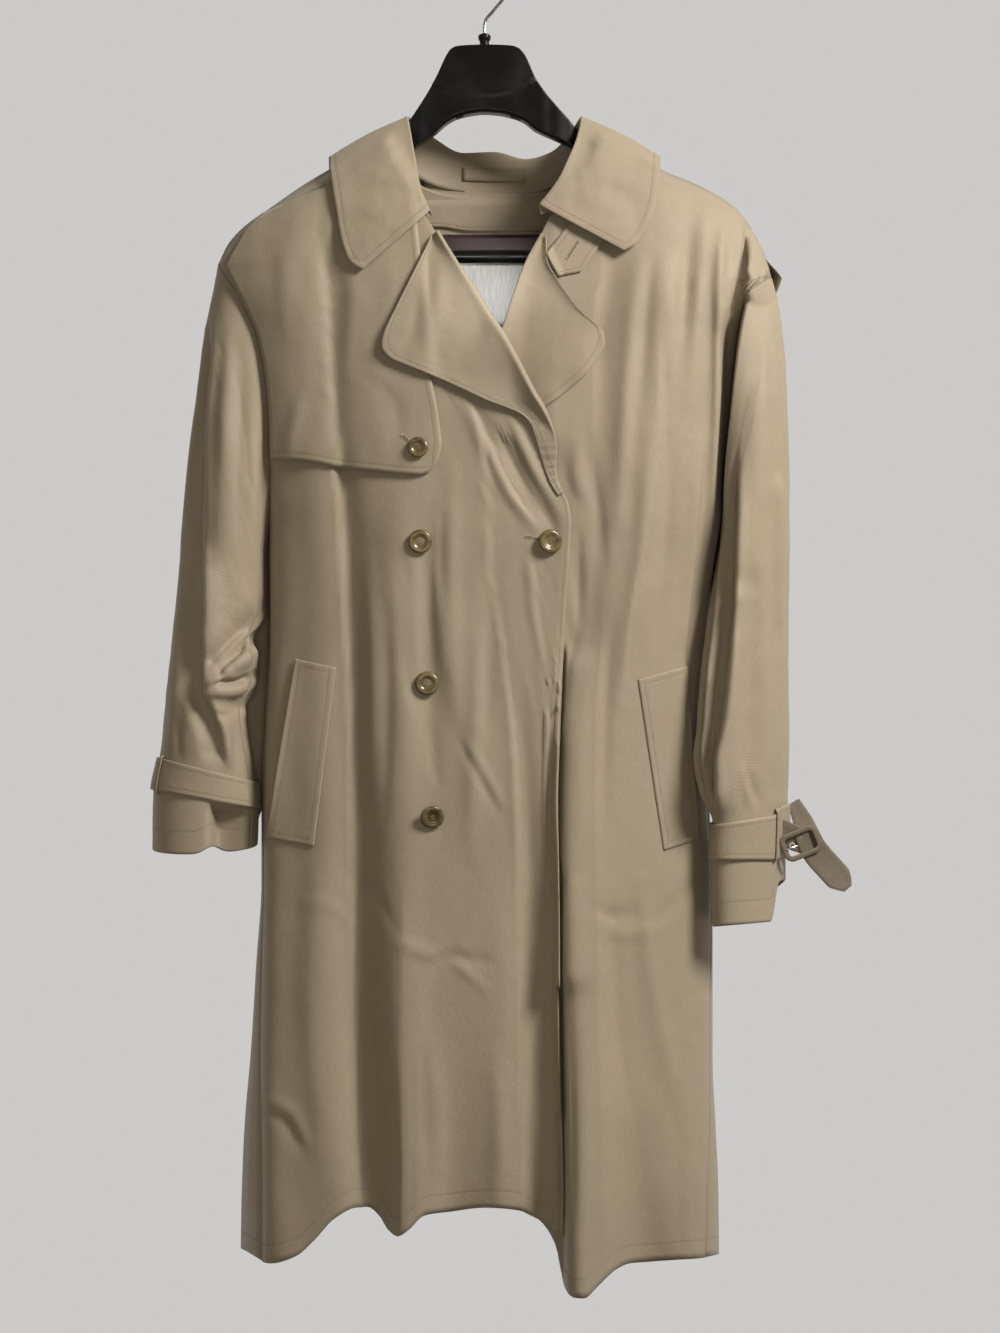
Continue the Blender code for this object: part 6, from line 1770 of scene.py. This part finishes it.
bow = np.where(b < 0.55, np.sqrt(np.clip(1 - (1 - b / 0.55) ** 2, 0, 1)) * 0.9 + 0.1, 1.0
               - 0.1 * ramp(b, 0.55, 1.0))
down_v = lerp(hang_top, hang_low, b)
y_h = sign * hang_half * lerp(bow, plate, yoke)
raised = ramp(along(MOULD_STEP, us)[:, None] - down_v, -0.6,
              0.8) * ramp(us, 424, 430)[:, None] * (1 - ramp(us, 536, 543))[:, None]
y_h = np.where(sign < 0, y_h - 1.3 * raised + 1.1 * ramp(us, 541, 552)[:, None] * yoke, y_h)
for i in range(len(us)):
    if 398 < us[i] < 590:
        continue
    for j in range(down_v.shape[1]):
        nearest = INSIDE[0 if sign[0, j] < 0 else 1]
        lim = nearest.height(us[i], down_v[i, j], -2.2)
        lim = 0.0 if lim is None else lim
        y_h[i, j] = max(y_h[i, j], min(0.0, lim)) if sign[0, j] < 0 else min(y_h[i, j], max(0.0, lim))
g_h = np.stack((us[:, None] + 0 * down_v, down_v, y_h), -1)
hard = np.stack((g_h[..., 0] - HOOK_U, g_h[..., 2], -(g_h[..., 1] - HOOK_V)), -1) / 1000.0
moulded = grid_mesh("hanger_moulded", lerp(place(g_h), hard, yoke[..., None]), closed_u=True, caps=True)
bar_p = np.stack((np.linspace(268 - HOOK_U, 724 - HOOK_U, 24), np.zeros(24), np.full(24, -(BAR_V - HOOK_V))),
                 -1) / 1000.0
bar_mesh = grid_mesh("trouser_bar", tube(bar_p, BAR_R / 1000, 28), closed_u=True, caps=True)
bm = bmesh.new()
bm.from_mesh(moulded)
bm.from_mesh(bar_mesh)
bm.to_mesh(moulded)
bm.free()
bpy.data.meshes.remove(bar_mesh)
moulded.shade_smooth()
moulded.set_sharp_from_angle(angle=math.radians(60))
join_object("hanger_moulded", moulded, PLASTIC, ["hanger_body"])
# the socket of the hook
socket_ring = ((0.0, 47.5), (5.6, 47.5), (5.6, 44.6), (4.7, 43.8), (4.9, 41.0), (6.2, 38.6), (6.4, 36.2),
               (5.9, 34.8), (4.6, 34.2), (2.2, 34.2), (2.0, 36.0), (0.0, 36.0))
sr = by_index(socket_ring, 56)
th = np.linspace(0, 2 * math.pi, 32, endpoint=False)
P = np.stack((484.5 - HOOK_U + sr[:, :1] * np.cos(th), sr[:, :1] * np.sin(th), -(sr[:, 1:] - HOOK_V)
              + 0 * th), -1) / 1000.0
join_object("hook_socket", grid_mesh("hook_socket", P, closed_u=True), PLASTIC,
            ["hook_ferrule"])

WIRE_R, HOOK_R = 1.75, 30.0
bend_u, bend_v = HOOK_U, HOOK_V + HOOK_R - WIRE_R
hook_uv = [(484.5, 33.6), (484.5, 27.0), (485.0, 22.0), (487.0, 17.5), (491.5, 12.5),
           (496.5, 6.5), (501.5, 0.5)]
for a in np.radians(50.0 - 8.75 * np.arange(29)):
    hook_uv.append((bend_u + HOOK_R * math.cos(a), bend_v + HOOK_R * math.sin(a)))
hook_uv = by_length(by_index(hook_uv, 400), 170)
hook_uv = np.stack([soften(hook_uv[:, k:k + 1], 4)[:, 0] for k in range(2)], -1)
hook_p = place(np.concatenate((hook_uv, 0 * hook_uv[:, :1]), 1))
hook_r = np.full(len(hook_p), WIRE_R / 1000.0)
hook_r[-3:] *= (0.96, 0.8, 0.45)
hook_mesh = grid_mesh("hanger_hook_wire", tube(hook_p, hook_r, 20), closed_u=True, caps=True)
join_object("hanger_hook_wire", hook_mesh, STEEL, ["hanger_hook"])

# ------------------------------------------------------------------ stitches
clothes = [left_front, right_front, right_lapel, left_lapel, storm_flap, throat_latch, back_right, back_left,
           shield, collar,
           facing, lining, label,
           hanging_loop] + sleeve_cloths + straps + welts + [shoulder_tab] + strap_loops
goes_with = {}
for c in clothes + [strap_end, lead]:
    small = {"pitch": 2.2, "long": 1.5} if c in (label, hanging_loop, strap_end, lead) else {}
    stitches = sewn(c, DARK_THREAD if c in (strap_end, lead) else THREAD, **small) if c.lines else None
    goes_with[c.name] = [stitches] if stitches else []
goes_with["storm_flap_cloth"] += holes["flap"]
goes_with["right_front_cloth"] += holes["front"]
goes_with["throat_latch_cloth"] += holes["latch"]

# ------------------------------------------------------------------ world and lights
world = bpy.data.worlds.new("studio")
bpy.context.scene.world = world
world.use_nodes = True
sky = world.node_tree
way = node(sky, "ShaderNodeTexCoord")
split = node(sky, "ShaderNodeSeparateXYZ")
sky.links.new(way.outputs["Generated"], split.inputs[0])
sky.links.new(ramp_node(sky, split.outputs[1], -0.15, 0.55, 0.15, 0.62),
              sky.nodes["Background"].inputs["Strength"])
sky.links.new(mix_colour(sky, ramp_node(sky, split.outputs[1], -0.15, 0.55), (1.0, 0.84, 0.62),
                         (0.97, 0.96, 0.95)), sky.nodes["Background"].inputs["Color"])


def lamp(name, kind, at, to, power, **settings):
    data = bpy.data.lights.new(name, kind)
    data.energy = power
    for key, val in settings.items():
        setattr(data, key, val)
    ob = bpy.data.objects.new(name, data)
    ob.location = at
    ob.rotation_euler = (Vector(to) - Vector(at)).to_track_quat("-Z", "Y").to_euler()
    bpy.context.scene.collection.objects.link(ob)


# name, where it stands, what it is turned to, size, power, colour
LIGHTS = (("key", (1.62, -1.30, 0.86), (0.0, 0.0, -0.50), 0.85, 80.0, (1.0, 0.96, 0.90)),
          ("front", (0.15, -2.3, -0.95), (0.0, 0.0, -0.40), 0.9, 6.0, (1.0, 0.95, 0.87)),
          ("fill", (-2.2, -1.9, -0.1), (0.0, 0.0, -0.6), 1.8, 4.0, (0.96, 0.97, 1.0)),
          ("rear", (0.3, 2.6, 0.8), (0.0, 0.0, -0.6), 1.6, 16.0, (1.0, 0.98, 0.95)))
for name, at, to, size, power, colour in LIGHTS:
    lamp(name, "AREA", at, to, power, shape="DISK", size=size, color=colour)
# a narrow light on the lining, which shows in the neck
lamp("inside", "SPOT", (0.03, -1.8, -0.60), (0.004, 0.045, -0.340), 80.0, spot_size=math.radians(4.0),
     spot_blend=1.0,
     shadow_soft_size=0.03)
bpy.context.scene.view_settings.view_transform = "Standard"

# ------------------------------------------------------------------ what each sheet was cut to
# piece: width and length of the rectangle its cut comes out of (m), how it is held, what it lies on
FRONTS, BACKS = ["left_front", "right_front"], ["back_right", "back_left"]
SHEETS = {
    "left_front_cloth": (0.50, 1.09, "hung", ["hanger_body"]),
    "right_front_cloth": (0.47, 1.04, "hung", ["hanger_body", "left_front"]),
    "right_lapel_cloth": (0.13, 0.32, "folded", ["right_front"]),
    "left_lapel_cloth": (0.09, 0.22, "folded", ["left_front"]),
    "storm_flap_cloth": (0.19, 0.30, "hung", ["right_front"]),
    "throat_latch_cloth": (0.05, 0.08, "laid", ["left_front"]),
    "back_right_cloth": (0.33, 1.09, "hung", ["hanger_body"]),
    "back_left_cloth": (0.33, 1.09, "hung", ["hanger_body"]),
    "back_storm_shield_cloth": (0.53, 0.29, "hung", BACKS),
    "collar_cloth": (0.14, 0.60, "folded", FRONTS + ["storm_flap", "back_storm_shield"]),
    "back_neck_facing_cloth": (0.15, 0.05, "laid", BACKS),
    "back_lining_cloth": (0.14, 0.21, "hung", BACKS),
    "label_cloth": (0.09, 0.08, "laid", ["back_lining"]),
    "hanging_loop_cloth": (0.066, 0.016, "laid", ["collar_stand"]),
    "right_top_sleeve_cloth": (0.27, 0.55, "hung", ["right_front", "back_right"]),
    "right_under_sleeve_cloth": (0.11, 0.38, "hung", ["right_front", "back_right"]),
    "left_top_sleeve_cloth": (0.28, 0.60, "hung", ["left_front", "back_left"]),
    "left_under_sleeve_cloth": (0.11, 0.45, "hung", ["left_front", "back_left"]),
    "right_cuff_strap_cloth": (0.32, 0.032, "laid", ["right_top_sleeve", "right_under_sleeve"]),
    "left_cuff_strap_cloth": (0.28, 0.040, "laid", ["left_top_sleeve", "left_under_sleeve"]),
    "right_pocket_welt_cloth": (0.053, 0.184, "laid", ["right_front"]),
    "left_pocket_welt_cloth": (0.054, 0.180, "laid", ["left_front"]),
    "left_shoulder_tab_cloth": (0.016, 0.056, "folded", ["back_left"]),
    "left_strap_end_cloth": (0.028, 0.124, "hung", ["left_buckle"]),
}
goes_with["right_cuff_strap_cloth"] += [strap_loops[1].ob] + goes_with[strap_loops[1].name]
goes_with["left_cuff_strap_cloth"] += [strap_loops[0].ob] + goes_with[strap_loops[0].name]
goes_with["left_strap_end_cloth"] += [lead.ob, eyelet] + goes_with[lead.name]
for c in clothes + [strap_end]:
    if c.name not in SHEETS:
        continue
    P = np.concatenate((c.P, c.P[:, :1]), 1) if c.closed else c.P
